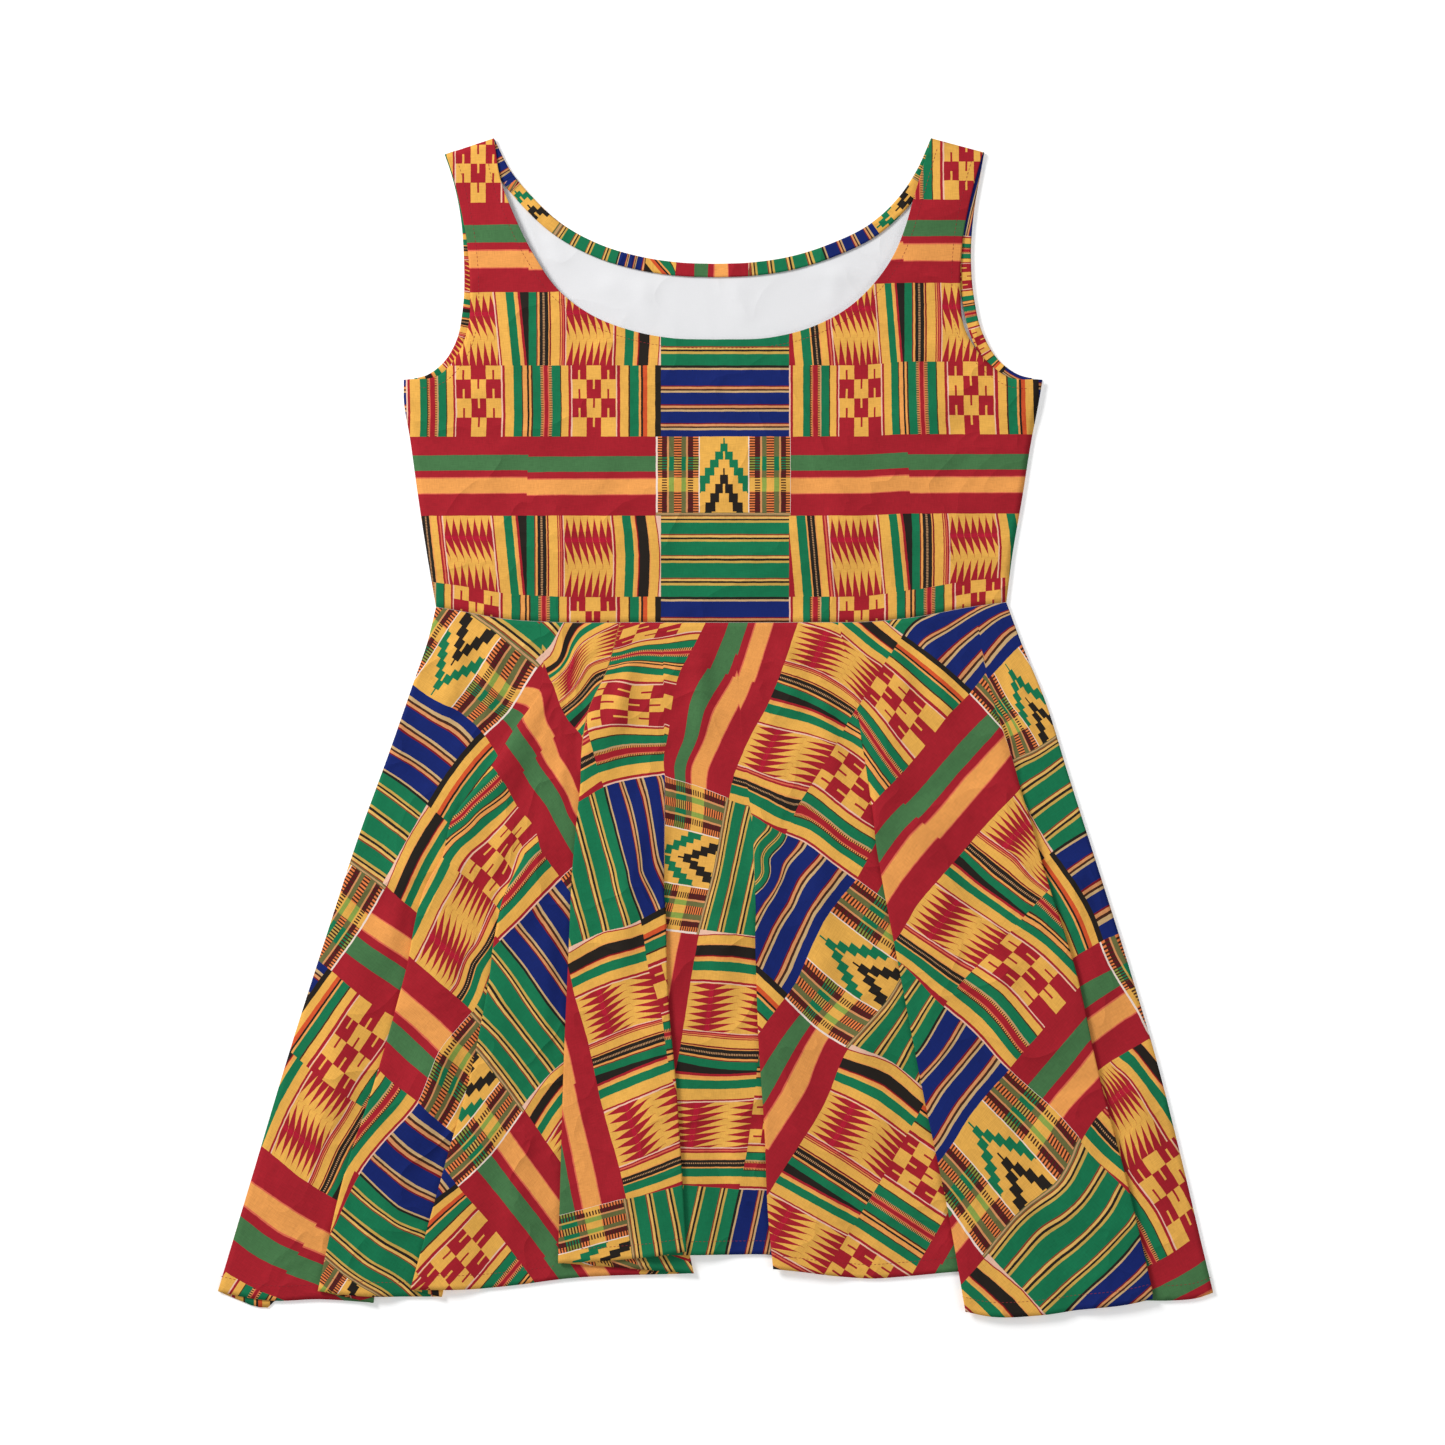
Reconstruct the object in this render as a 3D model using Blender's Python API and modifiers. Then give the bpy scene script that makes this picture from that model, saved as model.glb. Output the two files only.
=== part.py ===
"""Sleeveless skater dress laid flat on its back: a fitted bodice with a deep scoop neck, and a flared
skirt cut as part of a circle, whose fullness lies in seven uneven folds. Run it with
blender --background --python part.py, or from Blender's text editor.

Sizes are in millimetres and become metres when a mesh is made. X runs across the dress from its
centre line, Y runs up it from half way between straps and hem, and Z is the height above the floor."""

from collections import namedtuple

import bmesh
import bpy
import numpy as np

DRESS = "skater_dress"
MM = 0.001

# Cloth and how its layers lie
WALL = 1.0  # thickness of the cloth
SEAM_GAP = 0.3  # between pieces at a seam, and between pieces that rest on each other
LAYER = 2.0  # from one layer of a fold to the next, middle to middle
BACK_MID = WALL / 2  # the back lies on the floor
BAND_MID = BACK_MID + WALL + SEAM_GAP  # a binding lies on the inside of the back
FRONT_MID = BAND_MID  # the front lies on the back where no binding is between
OVER_BAND = WALL + SEAM_GAP  # how much higher the front lies over a binding
BODICE_CROWN = 3.2  # how far the middle of the front bodice stands off its edges
NECK_BAND_WIDTH = 10.0
ARM_BAND_WIDTH = 9.0

# Folds: a soft ridge first, which then closes into three layers
ROLL = LAYER / 2  # radius of a folded edge
RIDGE_WIDTH = 13.0  # the steep side of a ridge, before its fold closes
EASE = 34.0  # over this width the top layer comes down beyond what it hides
CLOSING = 0.12  # share of the skirt's length over which a ridge closes into a fold
CLEAR = 2.0  # from a folded edge to where a neighbour layer changes height

# Mesh density
SIDE_ROWS = 8
ARM_ROWS = 20
ROWS_TO_NECK = {"front": 4, "back": 7}  # of the armhole's rows, those that start on the centre line
UNDERARM_CENTRE = 243.0  # where the underarm's row starts on the centre line
BODICE_COLUMNS = 8
ROLL_STEPS = 4
COLUMN_WIDTH = 19.0
SKIRT_ROWS = (0, 0.03, 0.07, 0.12, 0.17, 0.22, 0.27, 0.33, 0.39, 0.46, 0.54, 0.62, 0.7, 0.78, 0.86, 0.93, 1)

# Outlines of one side each, as (x, y). A line between the same two ends runs the same way.
SIDE_SEAM = {
    "left": ((-209.5, 90.5), (-216.5, 131.5), (-222.5, 170.5), (-229, 217), (-233.5, 245.5), (-233.5, 260.5)),
    "right": ((218, 94), (222.5, 129.5), (230, 173), (236.5, 214), (242.5, 245.5), (245, 260.5)),
}
BACK_ARMHOLE = {
    "left": ((-233.5, 260.5), (-215.5, 264.5), (-203.5, 274), (-194, 290.5), (-189.5, 313),
             (-188.5, 350.5), (-192.5, 392), (-199, 418), (-203, 429.5)),
    "right": ((245, 260.5), (227, 264.5), (213.5, 274), (200, 296), (194, 320.5),
              (191.5, 349), (194.5, 392), (198.5, 414.5), (201.5, 431)),
}
FRONT_ARMHOLE = {
    "left": ((-233.5, 260.5), (-208, 263.5), (-193, 279.5), (-185.5, 299.5), (-184, 332),
             (-186.5, 365.5), (-191.5, 392), (-197, 414.5), (-202, 429.5)),
    "right": ((245, 260.5), (221, 262), (202, 275.5), (187, 298), (183.5, 332),
              (185.5, 368), (192.5, 403), (200.5, 431)),
}
BACK_NECK = {
    "left": ((0, 347.5), (-26.5, 348.5), (-56.5, 353), (-86.5, 362), (-116.5, 378.5),
             (-139, 399.5), (-154, 418), (-166, 441.5)),
    "right": ((0, 347.5), (26, 348.5), (56, 353), (86, 362.5), (116, 377.5),
              (137, 397), (151, 418), (161.5, 441.5)),
}
FRONT_NECK = {
    "left": ((0, 290.5), (-32.5, 291.5), (-64, 297.5), (-94, 309.5), (-118, 328),
             (-135.5, 353), (-152, 386.5), (-161, 410.5), (-166, 441.5)),
    "right": ((0, 290.5), (41, 292), (71, 299.5), (99.5, 314.5), (119.5, 333.5),
              (133, 353), (142, 374.5), (147.5, 393.5), (161.5, 441.5)),
}
WAIST = ((-209.5, 90.5), (-191.5, 87.5), (-161.5, 82), (-116.5, 79), (-56.5, 79),
         (63.5, 79), (123.5, 80), (153.5, 83.5), (191, 90.5), (218, 94))
SKIRT_EDGE = {
    "left": ((-209.5, 90.5), (-215.5, 65.5), (-227, 32), (-244, -17), (-268, -83),
             (-291.5, -155.5), (-319, -242), (-345.5, -330.5), (-373, -422.5)),
    "right": ((218, 94), (228.5, 65.5), (247, 20.5), (264.5, -35.5), (286, -103),
              (309.5, -178), (329.5, -245.5), (348.5, -320.5), (365.5, -392), (373, -423.5)),
}
BACK_HEM = ((-373, -422.5), (-357, -429.5), (-334, -434.5), (-329, -428.5), (-290, -419), (-227, -415),
            (-116, -398), (-23, -386), (42, -389), (116, -405), (180, -402), (202, -430),
            (243, -436), (326, -423), (352, -423), (373, -423.5))

# A fold of the skirt's front, from left to right. over is the side whose cloth lies on top. start and
# close are shares of the skirt's length: where its ridge begins, and where the ridge becomes a fold.
# depth is how far the hidden layers reach at the hem, inner_hem is where their inner end lies there,
# and under counts the layers of a neighbour that it lies on. line is its edge, from waist to hem.
Fold = namedtuple("Fold", "over start close depth inner_hem under line")
FOLDS = (
    Fold("right", 0.08, 0.20, 39, -431.0, 0,
         ((-131.5, 79.5), (-131.5, 28), (-150.5, -0.5), (-169, -30.5), (-197.5, -71), (-203, -95.5),
          (-214, -114.5), (-231.5, -185.5), (-251.5, -257), (-278, -339.5), (-296.5, -422))),
    Fold("right", 0.28, 0.38, 21, -426.5, 0,
         ((-103, 79), (-113, 28), (-130, -39), (-142, -92), (-158.5, -126), (-169, -193),
          (-182.5, -260.5), (-201.5, -328), (-227.5, -422))),
    Fold("right", 0.05, 0.18, 99, -409.0, 0,
         ((-71.5, 79), (-83, 39.5), (-94, 17), (-99.5, -9.5), (-101.5, -54.5), (-106, -107),
          (-109, -174.5), (-112, -242), (-114.5, -324.5), (-116.5, -398))),
    Fold("left", 0.24, 0.36, 17, -395.0, 2,
         ((-39.5, 79), (-38.5, -0.5), (-38, -39.5), (-38.5, -129.5), (-36.5, -204.5),
          (-31, -264.5), (-26.5, -332), (-23, -392))),
    Fold("right", 0.26, 0.38, 26, -401.0, 0,
         ((14.5, 79), (20, -9.5), (27.5, -77), (31, -159.5), (33.5, -234.5),
          (38, -302), (41, -369.5), (44.5, -405.5))),
    Fold("right", 0.10, 0.21, 58, -408.0, 0,
         ((92, 79), (103, 28), (110, -13), (123.5, -99.5), (140.5, -189.5),
          (158, -279.5), (176, -365.5), (188.5, -437.5))),
    Fold("left", 0.09, 0.20, 36, -428.0, 0,
         ((194.5, 90), (206, 28), (222.5, -24.5), (245, -107), (267.5, -178),
          (286, -260.5), (309.5, -350.5), (326, -422))),
)
# The hem of each stretch of cloth between two folds, from left to right, as (x, y)
HEMS = (
    ((-373, -422.5), (-353, -427), (-334, -429.5), (-296.5, -428.5)),
    ((-296.5, -422), (-274, -425), (-227.5, -426.5)),
    ((-227.5, -421), (-176.5, -420.5), (-146.5, -417.5), (-116.5, -413.5)),
    ((-116.5, -401), (-86.5, -399.5), (-56.5, -397), (-23, -392)),
    ((-23, -395), (11, -395), (42.5, -395.5)),
    ((44.5, -405.5), (63.5, -407.5), (93.5, -411.5), (116, -413), (138.5, -411.5), (183.5, -407.5)),
    ((188.5, -437.5), (202, -440.5), (243.5, -440), (273.5, -436), (311, -431.5), (326, -428)),
    ((326, -429.5), (341, -429.5), (363.5, -427), (373, -423.5)),
)
DEEP_FOLD = 2  # the third fold, whose hidden layers reach past the fourth
RAISED = (0.4, 0.68)  # share of the length over which the fourth fold climbs onto them

# Colours of the cloth's outer side in each piece, and the finish of them all
COLOURS = {
    "bodice_front": (0.50, 0.09, 0.05),
    "bodice_back": (0.85, 0.85, 0.86),
    "skirt_front": (0.60, 0.24, 0.05),
    "skirt_back": (0.85, 0.83, 0.80),
    "neck_band_back": (0.02, 0.25, 0.09),
    "armhole_band_left": (0.70, 0.40, 0.08),
    "armhole_band_right": (0.02, 0.05, 0.22),
}
ROUGHNESS = 0.85


def clear_scene():
    for item in list(bpy.data.objects):
        bpy.data.objects.remove(item, do_unlink=True)


def smooth(value):
    """0 up to 0, 1 from 1 on, and an even S between them."""
    value = np.clip(value, 0.0, 1.0)
    return value * value * (3 - 2 * value)


def smooth_line(table, fractions):
    """Points at these fractions of the length of a smooth line through a table's points."""
    points = np.array(table, float)
    chord = np.concatenate([[0], np.cumsum(np.linalg.norm(np.diff(points, axis=0), axis=1))])
    slope = np.gradient(points, chord, axis=0)
    at = np.linspace(0, chord[-1], 60 * len(points))
    left = np.clip(np.searchsorted(chord, at, side="right") - 1, 0, len(points) - 2)
    span = (chord[left + 1] - chord[left])[:, None]
    u = (at[:, None] - chord[left][:, None]) / span
    line = (
        points[left] * (1 + 2 * u) * (1 - u) ** 2
        + slope[left] * span * u * (1 - u) ** 2
        + points[left + 1] * u * u * (3 - 2 * u)
        + slope[left + 1] * span * u * u * (u - 1)
    )
    length = np.concatenate([[0], np.cumsum(np.linalg.norm(np.diff(line, axis=0), axis=1))])
    wanted = np.asarray(fractions) * length[-1]
    return np.column_stack([np.interp(wanted, length, line[:, axis]) for axis in (0, 1)])


def line_x(table, y):
    """Where a line that runs down the dress is, at height y."""
    line = smooth_line(table, np.linspace(0, 1, 80))
    return np.interp(-y, -line[:, 1], line[:, 0])


def line_y(table, x):
    """Where a line that runs across the dress is, at x."""
    line = smooth_line(table, np.linspace(0, 1, 80))
    return np.interp(x, line[:, 0], line[:, 1])


def add_piece(name, grids, flip=False):
    """An object for one piece of cloth: its middle surface from grids of points, and a wall from Solidify."""
    bm = bmesh.new()
    for grid in grids:
        rows = [[bm.verts.new(point * MM) for point in row] for row in grid]
        for low, high in zip(rows, rows[1:]):
            for a, b, c, d in zip(low, low[1:], high[1:], high):
                bm.faces.new((d, c, b, a) if flip else (a, b, c, d))
    bmesh.ops.remove_doubles(bm, verts=bm.verts, dist=1e-6)
    mesh = bpy.data.meshes.new(name)
    bm.to_mesh(mesh)
    bm.free()
    mesh.shade_smooth()
    material = bpy.data.materials.new(name)
    material.use_nodes = True
    shader = material.node_tree.nodes["Principled BSDF"]
    shader.inputs["Base Color"].default_value = (*COLOURS[name], 1)
    shader.inputs["Roughness"].default_value = ROUGHNESS
    mesh.materials.append(material)
    item = bpy.data.objects.new(name, mesh)
    bpy.data.collections[DRESS].objects.link(item)
    wall = item.modifiers.new("wall", "SOLIDIFY")
    wall.thickness = WALL * MM
    wall.offset = 0
    wall.use_quality_normals = True
    return item


def bodice_half(side, neck, armhole, rows_to_neck, height):
    """Rows from waist to shoulder, each from the centre line or neck edge out to the side seam or armhole.
    height(across, outer_y, y) is the middle of the cloth."""
    waist_y = line_y(WAIST, 0)
    centre_y = np.concatenate([
        np.linspace(waist_y, UNDERARM_CENTRE, SIDE_ROWS + 1),
        np.linspace(UNDERARM_CENTRE, neck[side][0][1], rows_to_neck + 1)[1:],
    ])
    centre = np.column_stack([np.zeros_like(centre_y), centre_y])
    neck_shares = np.linspace(0, 1, ARM_ROWS - rows_to_neck + 1)[1:]
    inner = np.vstack([centre, smooth_line(neck[side], neck_shares)])
    outer = np.vstack([
        smooth_line(SIDE_SEAM[side], np.linspace(0, 1, SIDE_ROWS + 1)),
        smooth_line(armhole[side], np.linspace(0, 1, ARM_ROWS + 1)[1:]),
    ])
    rows = []
    for index, (start, end) in enumerate(zip(inner, outer)):
        across = np.linspace(0, 1, BODICE_COLUMNS + 1)
        x = start[0] + (end[0] - start[0]) * across
        straight = start[1] + (end[1] - start[1]) * across
        sag = line_y(WAIST, x) - (waist_y + (line_y(WAIST, outer[0][0]) - waist_y) * across)
        y = straight + sag * (1 - smooth(index / SIDE_ROWS))
        rows.append(np.column_stack([x, y, height(across, end[1], y)]))
    return np.array(rows)


def flat(height):
    return lambda across, outer_y, y: np.full_like(across, height)


def crowned(across, outer_y, y):
    """The front bodice: high in the middle, down on the back at the side seams and the waist."""
    underarm = SIDE_SEAM["left"][-1][1]
    shoulder = BACK_ARMHOLE["left"][-1][1]
    off_waist = smooth((y - WAIST[0][1]) / 45)
    near_arm = smooth((outer_y - (underarm - 45)) / 30)
    near_shoulder = smooth((y - (shoulder - 40)) / 45)
    crown = off_waist * (BODICE_CROWN + (OVER_BAND - BODICE_CROWN) * near_shoulder)
    return FRONT_MID + crown * (1 - across**4) + OVER_BAND * near_arm * across**4


def below_seam(table):
    """A waist line moved down by the gap at the seam."""
    return tuple((x, y - SEAM_GAP) for x, y in table)


def band_grid(edge, width, turn):
    """A strip on the inside of the back, from its cut edge inwards. turn is the side that the cloth is on."""
    along = np.gradient(edge, axis=0)
    along /= np.linalg.norm(along, axis=1)[:, None]
    inwards = turn * np.column_stack([-along[:, 1], along[:, 0]])
    rows = [edge + inwards * width * share for share in (0, 0.5, 1)]
    return np.array([np.column_stack([row, np.full(len(row), BAND_MID)]) for row in rows])


def neck_edge():
    """The whole edge of the back neck, from the left shoulder to the right."""
    left = smooth_line(BACK_NECK["left"], np.linspace(1, 0, 21))
    right = smooth_line(BACK_NECK["right"], np.linspace(0, 1, 21))
    return np.vstack([left, right[1:]])


def fold_columns(fold, share, edge_hem):
    """(x, z, y at the hem) across one fold, from left to right, at a share of the skirt's length."""
    top = line_y(WAIST, fold.line[0][0])
    edge = line_x(fold.line, top + (edge_hem - top) * share)
    rise = smooth((share - fold.start) / (fold.close - fold.start))
    shut = smooth((share - fold.close) / CLOSING)
    depth = fold.depth * max(0.0, (share - fold.close) / (1 - fold.close))
    turn = np.radians(np.linspace(-90, 90, ROLL_STEPS + 1))
    folded_x = np.concatenate([depth + ROLL * np.cos(turn), -ROLL * np.cos(turn)])
    folded_z = np.concatenate([ROLL + ROLL * np.sin(turn), LAYER + ROLL + ROLL * np.sin(turn)])
    along = np.linspace(0, 1, len(folded_x))
    ridge_x = RIDGE_WIDTH * (along - 0.5)
    ridge_z = 2 * LAYER * smooth(along)
    x = ridge_x + (folded_x - ridge_x) * shut
    z = (ridge_z + (folded_z - ridge_z) * shut) * rise
    hem = np.where(along < 0.5, fold.inner_hem, edge_hem)
    z = z + under_height(fold, share)
    reach = (depth + ROLL) * shut + RIDGE_WIDTH / 2 * (1 - shut) + CLEAR
    near = ROLL * shut + RIDGE_WIDTH / 2 * (1 - shut) + CLEAR
    if fold.over == "right":
        return edge + x, z, hem, edge - near, edge + reach
    return edge - x[::-1], z[::-1], hem[::-1], edge - reach, edge + near


def under_height(fold, share):
    """Height of the neighbour's layers that a fold lies on."""
    climb = smooth((share - RAISED[0]) / (RAISED[1] - RAISED[0]))
    return fold.under * LAYER * climb


def zone_heights(index, x, left_level, right_level, free_from, free_to):
    """The cloth between two folds keeps each fold's height where it hides layers, and lies low between.
    It is low again before a fold that it goes under."""
    goes_under_right = index < len(FOLDS) and FOLDS[index].over == "right"
    goes_under_left = index > 0 and FOLDS[index - 1].over == "left"
    down_room = (free_to if goes_under_right else x[-1]) - free_from
    up_room = free_to - (free_from if goes_under_left else x[0])
    down = smooth((x - free_from) / max(CLEAR, min(EASE, down_room)))
    up = smooth((x - free_to) / max(CLEAR, min(EASE, up_room)) + 1)
    return np.maximum(left_level * (1 - down), right_level * up)


def skirt_row(share):
    """One section across the skirt's front: all its columns from the left side seam to the right."""
    edge_hems = [HEMS[index + (fold.over == "right")][0 if fold.over == "right" else -1][1]
                 for index, fold in enumerate(FOLDS)]
    folds = [fold_columns(fold, share, hem) for fold, hem in zip(FOLDS, edge_hems)]
    top = {side: SKIRT_EDGE[side][0][1] for side in SKIRT_EDGE}
    hem_y = {"left": HEMS[0][0][1], "right": HEMS[-1][-1][1]}
    sides = {side: line_x(SKIRT_EDGE[side], top[side] + (hem_y[side] - top[side]) * share) for side in top}
    deep_end = folds[DEEP_FOLD][4]
    columns = []
    for index, hem in enumerate(HEMS):
        start = (folds[index - 1][0][-1], folds[index - 1][1][-1], folds[index - 1][4]) if index else (
            sides["left"], 0.0, sides["left"])
        end = (folds[index][0][0], folds[index][1][0], folds[index][3]) if index < len(FOLDS) else (
            sides["right"], 0.0, sides["right"])
        free_from = max(start[2], deep_end) if index == DEEP_FOLD + 2 and share > RAISED[0] else start[2]
        width = zone_width(index)
        x = np.linspace(start[0], end[0], max(5, round(width / COLUMN_WIDTH)) + 1)
        z = zone_heights(index, x, start[1], end[1], free_from, end[2])
        y_hem = zone_hem(index, x, share)
        keep = slice(1 if index else 0, -1 if index < len(FOLDS) else None)
        columns.append(np.column_stack([x, z, y_hem])[keep])
        if index < len(FOLDS):
            columns.append(np.column_stack(folds[index][:3]))
    x, z, hem = np.vstack(columns).T
    return x, z, hem


def zone_width(index):
    """Width at the hem of the cloth between two folds, with what is hidden at either end."""
    hidden = 0.0
    if index and FOLDS[index - 1].over == "left":
        hidden += FOLDS[index - 1].depth
    if index < len(FOLDS) and FOLDS[index].over == "right":
        hidden += FOLDS[index].depth
    return HEMS[index][-1][0] - HEMS[index][0][0] + hidden


def zone_hem(index, x, share):
    """Height of the hem below each column: the visible hem, and towards a fold's inner end where hidden."""
    hem = HEMS[index]
    ends = list(hem)
    if index and FOLDS[index - 1].over == "left":
        ends.insert(0, (hem[0][0] - FOLDS[index - 1].depth, FOLDS[index - 1].inner_hem))
    if index < len(FOLDS) and FOLDS[index].over == "right":
        ends.append((hem[-1][0] + FOLDS[index].depth, FOLDS[index].inner_hem))
    across = (x - x[0]) / (x[-1] - x[0])
    return line_y(ends, ends[0][0] + across * (ends[-1][0] - ends[0][0]))


def skirt_front_grid():
    """Rows from waist to hem. Every row has the same columns, so a fold's columns lie over each other."""
    first_x, _, _ = skirt_row(0)
    waist = below_seam(WAIST)
    top_y = line_y(waist, first_x)
    rows = []
    for share in SKIRT_ROWS:
        x, z, hem = skirt_row(share)
        rows.append(np.column_stack([x, top_y + (hem - top_y) * share, FRONT_MID + z]))
    return np.array(rows)


def skirt_back_grid():
    waist = below_seam(WAIST)
    rows = []
    for share in np.linspace(0, 1, 13):
        ends = []
        for side in ("left", "right"):
            top, bottom = SKIRT_EDGE[side][0], SKIRT_EDGE[side][-1]
            ends.append(line_x(SKIRT_EDGE[side], top[1] + (bottom[1] - top[1]) * share))
        across = np.linspace(0, 1, 25)
        x = ends[0] + (ends[1] - ends[0]) * across
        top_y = line_y(waist, WAIST[0][0] + (WAIST[-1][0] - WAIST[0][0]) * across)
        hem_y = line_y(BACK_HEM, BACK_HEM[0][0] + (BACK_HEM[-1][0] - BACK_HEM[0][0]) * across)
        rows.append(np.column_stack([x, top_y + (hem_y - top_y) * share, np.full_like(x, BACK_MID)]))
    return np.array(rows)


def make_bodice():
    for panel, neck, armhole, height in (
        ("front", FRONT_NECK, FRONT_ARMHOLE, crowned),
        ("back", BACK_NECK, BACK_ARMHOLE, flat(BACK_MID)),
    ):
        left, right = (bodice_half(side, neck, armhole, ROWS_TO_NECK[panel], height) for side in ("left", "right"))
        add_piece(f"bodice_{panel}", [left[:, ::-1], right])


def make_bands():
    add_piece("neck_band_back", [band_grid(neck_edge(), NECK_BAND_WIDTH, -1)], flip=True)
    clear_of_seam = np.linspace(0.04, 1, 25)
    for side, turn in (("left", 1), ("right", -1)):
        edge = smooth_line(BACK_ARMHOLE[side], clear_of_seam)
        add_piece(f"armhole_band_{side}", [band_grid(edge, ARM_BAND_WIDTH, -turn)], flip=turn > 0)


def make_skirt():
    add_piece("skirt_front", [skirt_front_grid()], flip=True)
    add_piece("skirt_back", [skirt_back_grid()], flip=True)


def main():
    clear_scene()
    bpy.context.scene.collection.children.link(bpy.data.collections.new(DRESS))
    make_bodice()
    make_bands()
    make_skirt()


main()
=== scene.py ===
# %% [markdown]
# # A skater dress in strip-woven style cotton
#
# The dress lies flat on its back. A skater dress has a close bodice and a skirt cut as part of a circle,
# so its hem is far longer than its waist, and the spare cloth lies in folds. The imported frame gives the
# real sizes, and this lesson gives it its cloth: thin shells on the same lines, a printed pattern worked
# out from a chart, and the sewing. Lengths in the tables are millimetres, and become metres in the meshes.

# %% The frame and the helpers
from collections import namedtuple

import bmesh
import bpy
import numpy as np
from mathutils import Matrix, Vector


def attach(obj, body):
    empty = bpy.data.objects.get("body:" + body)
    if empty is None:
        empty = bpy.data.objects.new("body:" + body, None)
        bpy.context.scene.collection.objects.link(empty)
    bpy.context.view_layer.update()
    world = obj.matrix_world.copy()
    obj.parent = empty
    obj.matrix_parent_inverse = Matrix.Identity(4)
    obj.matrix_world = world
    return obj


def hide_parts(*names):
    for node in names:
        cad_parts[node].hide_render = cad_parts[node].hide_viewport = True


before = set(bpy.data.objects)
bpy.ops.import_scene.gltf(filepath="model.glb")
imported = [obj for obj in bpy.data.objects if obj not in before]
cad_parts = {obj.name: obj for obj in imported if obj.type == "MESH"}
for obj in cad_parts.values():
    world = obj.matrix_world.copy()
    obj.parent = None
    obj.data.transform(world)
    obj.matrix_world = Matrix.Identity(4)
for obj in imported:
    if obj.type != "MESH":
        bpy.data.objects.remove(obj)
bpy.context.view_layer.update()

MM = 0.001
CLOTH_COLLECTION = bpy.data.collections.new("skater_dress_cloth")
bpy.context.scene.collection.children.link(CLOTH_COLLECTION)


# %% [markdown]
# ## Camera, floor and light
#
# The photograph looks straight down on the dress, so the camera does too, from three metres up with a
# long lens, which keeps the outline free of perspective. The light is a big soft window to the upper
# left and a weaker one to the right, so each folded edge throws a short soft shadow.

# %% Camera, floor and light
VIEW_WIDTH = 1.08375  # metres across the square picture, at the height of the cloth
VIEW_CENTRE = (0.00525, 0.00375)
LENS = 100.0
SENSOR = 36.0
FLOOR_DROP = 0.0004
FLOOR_PALE = 0.97
FLOOR_GLOW = 0.24  # the floor shines a little by itself, so it stays white round the dress
SKY = 0.38
# Windows: place, size in metres, watts
WINDOWS = {
    "window": ((-2.2, 1.8, 1.9), 1.1, 98),
    "second_window": ((1.9, -0.6, 2.2), 1.4, 12),
}


def add_camera():
    data = bpy.data.cameras.new("view_from_above")
    data.lens = LENS
    data.sensor_width = SENSOR
    data.clip_end = 20
    camera = bpy.data.objects.new("view_from_above", data)
    camera.location = (*VIEW_CENTRE, VIEW_WIDTH * LENS / SENSOR)
    bpy.context.scene.collection.objects.link(camera)
    bpy.context.scene.camera = camera


def add_window(name, place, size, watts):
    """A square area light that looks at the middle of the dress."""
    data = bpy.data.lights.new(name, "AREA")
    data.size = size
    data.energy = watts
    light = bpy.data.objects.new(name, data)
    light.location = place
    light.rotation_euler = Vector(place).to_track_quat("Z", "Y").to_euler()
    bpy.context.scene.collection.objects.link(light)


def add_floor():
    bpy.ops.mesh.primitive_plane_add(size=12, location=(0, 0, -FLOOR_DROP))
    floor = bpy.context.object
    floor.name = "pale_floor"
    paint = bpy.data.materials.new("pale_floor")
    paint.use_nodes = True
    shader = paint.node_tree.nodes["Principled BSDF"]
    shader.inputs["Base Color"].default_value = (FLOOR_PALE, FLOOR_PALE, FLOOR_PALE, 1)
    shader.inputs["Roughness"].default_value = 0.9
    shader.inputs["Emission Color"].default_value = (1, 1, 1, 1)
    shader.inputs["Emission Strength"].default_value = FLOOR_GLOW
    floor.data.materials.append(paint)


def light_room():
    world = bpy.data.worlds.new("pale_room")
    bpy.context.scene.world = world
    world.use_nodes = True
    background = world.node_tree.nodes["Background"]
    background.inputs["Color"].default_value = (1, 1, 1, 1)
    background.inputs["Strength"].default_value = SKY
    for name, (place, size, watts) in WINDOWS.items():
        add_window(name, place, size, watts)
    bpy.context.scene.view_settings.view_transform = "Standard"


add_camera()
add_floor()
light_room()
print("camera", round(VIEW_WIDTH * LENS / SENSOR, 3), "m above the floor")


# %% [markdown]
# ## The lines of the dress
#
# A pattern cutter draws a dress from a few curves, each through a few measured points. Here a table
# holds the points, and one function draws a smooth line through them and walks along it in even steps.
# Every panel is then a net of threads between two such lines, so its edge is as smooth as the line.

# %% Outlines, as (x, y) in mm, for one side each
SIDE_SEAM = {
    "left": ((-209.5, 90.5), (-216.5, 131.5), (-222.5, 170.5), (-229, 217), (-233.5, 245.5),
             (-233.5, 260.5)),
    "right": ((218, 94), (222.5, 129.5), (230, 173), (236.5, 214), (242.5, 245.5), (245, 260.5)),
}
BACK_ARMHOLE = {
    "left": ((-233.5, 260.5), (-215.5, 264.5), (-203.5, 274), (-194, 290.5), (-189.5, 313),
             (-188.5, 350.5), (-192.5, 392), (-199, 418), (-203, 429.5)),
    "right": ((245, 260.5), (227, 264.5), (213.5, 274), (200, 296), (194, 320.5),
              (191.5, 349), (194.5, 392), (198.5, 414.5), (201.5, 431)),
}
FRONT_ARMHOLE = {
    "left": ((-233.5, 260.5), (-208, 263.5), (-193, 279.5), (-185.5, 299.5), (-184, 332),
             (-186.5, 365.5), (-191.5, 392), (-197, 414.5), (-202, 429.5)),
    "right": ((245, 260.5), (221, 262), (202, 275.5), (187, 298), (183.5, 332),
              (185.5, 368), (192.5, 403), (200.5, 431)),
}
BACK_NECK = {
    "left": ((0, 347.5), (-26.5, 348.5), (-56.5, 353), (-86.5, 362), (-116.5, 378.5),
             (-139, 399.5), (-154, 418), (-166, 441.5)),
    "right": ((0, 347.5), (26, 348.5), (56, 353), (86, 362.5), (116, 377.5),
              (137, 397), (151, 418), (161.5, 441.5)),
}
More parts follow.
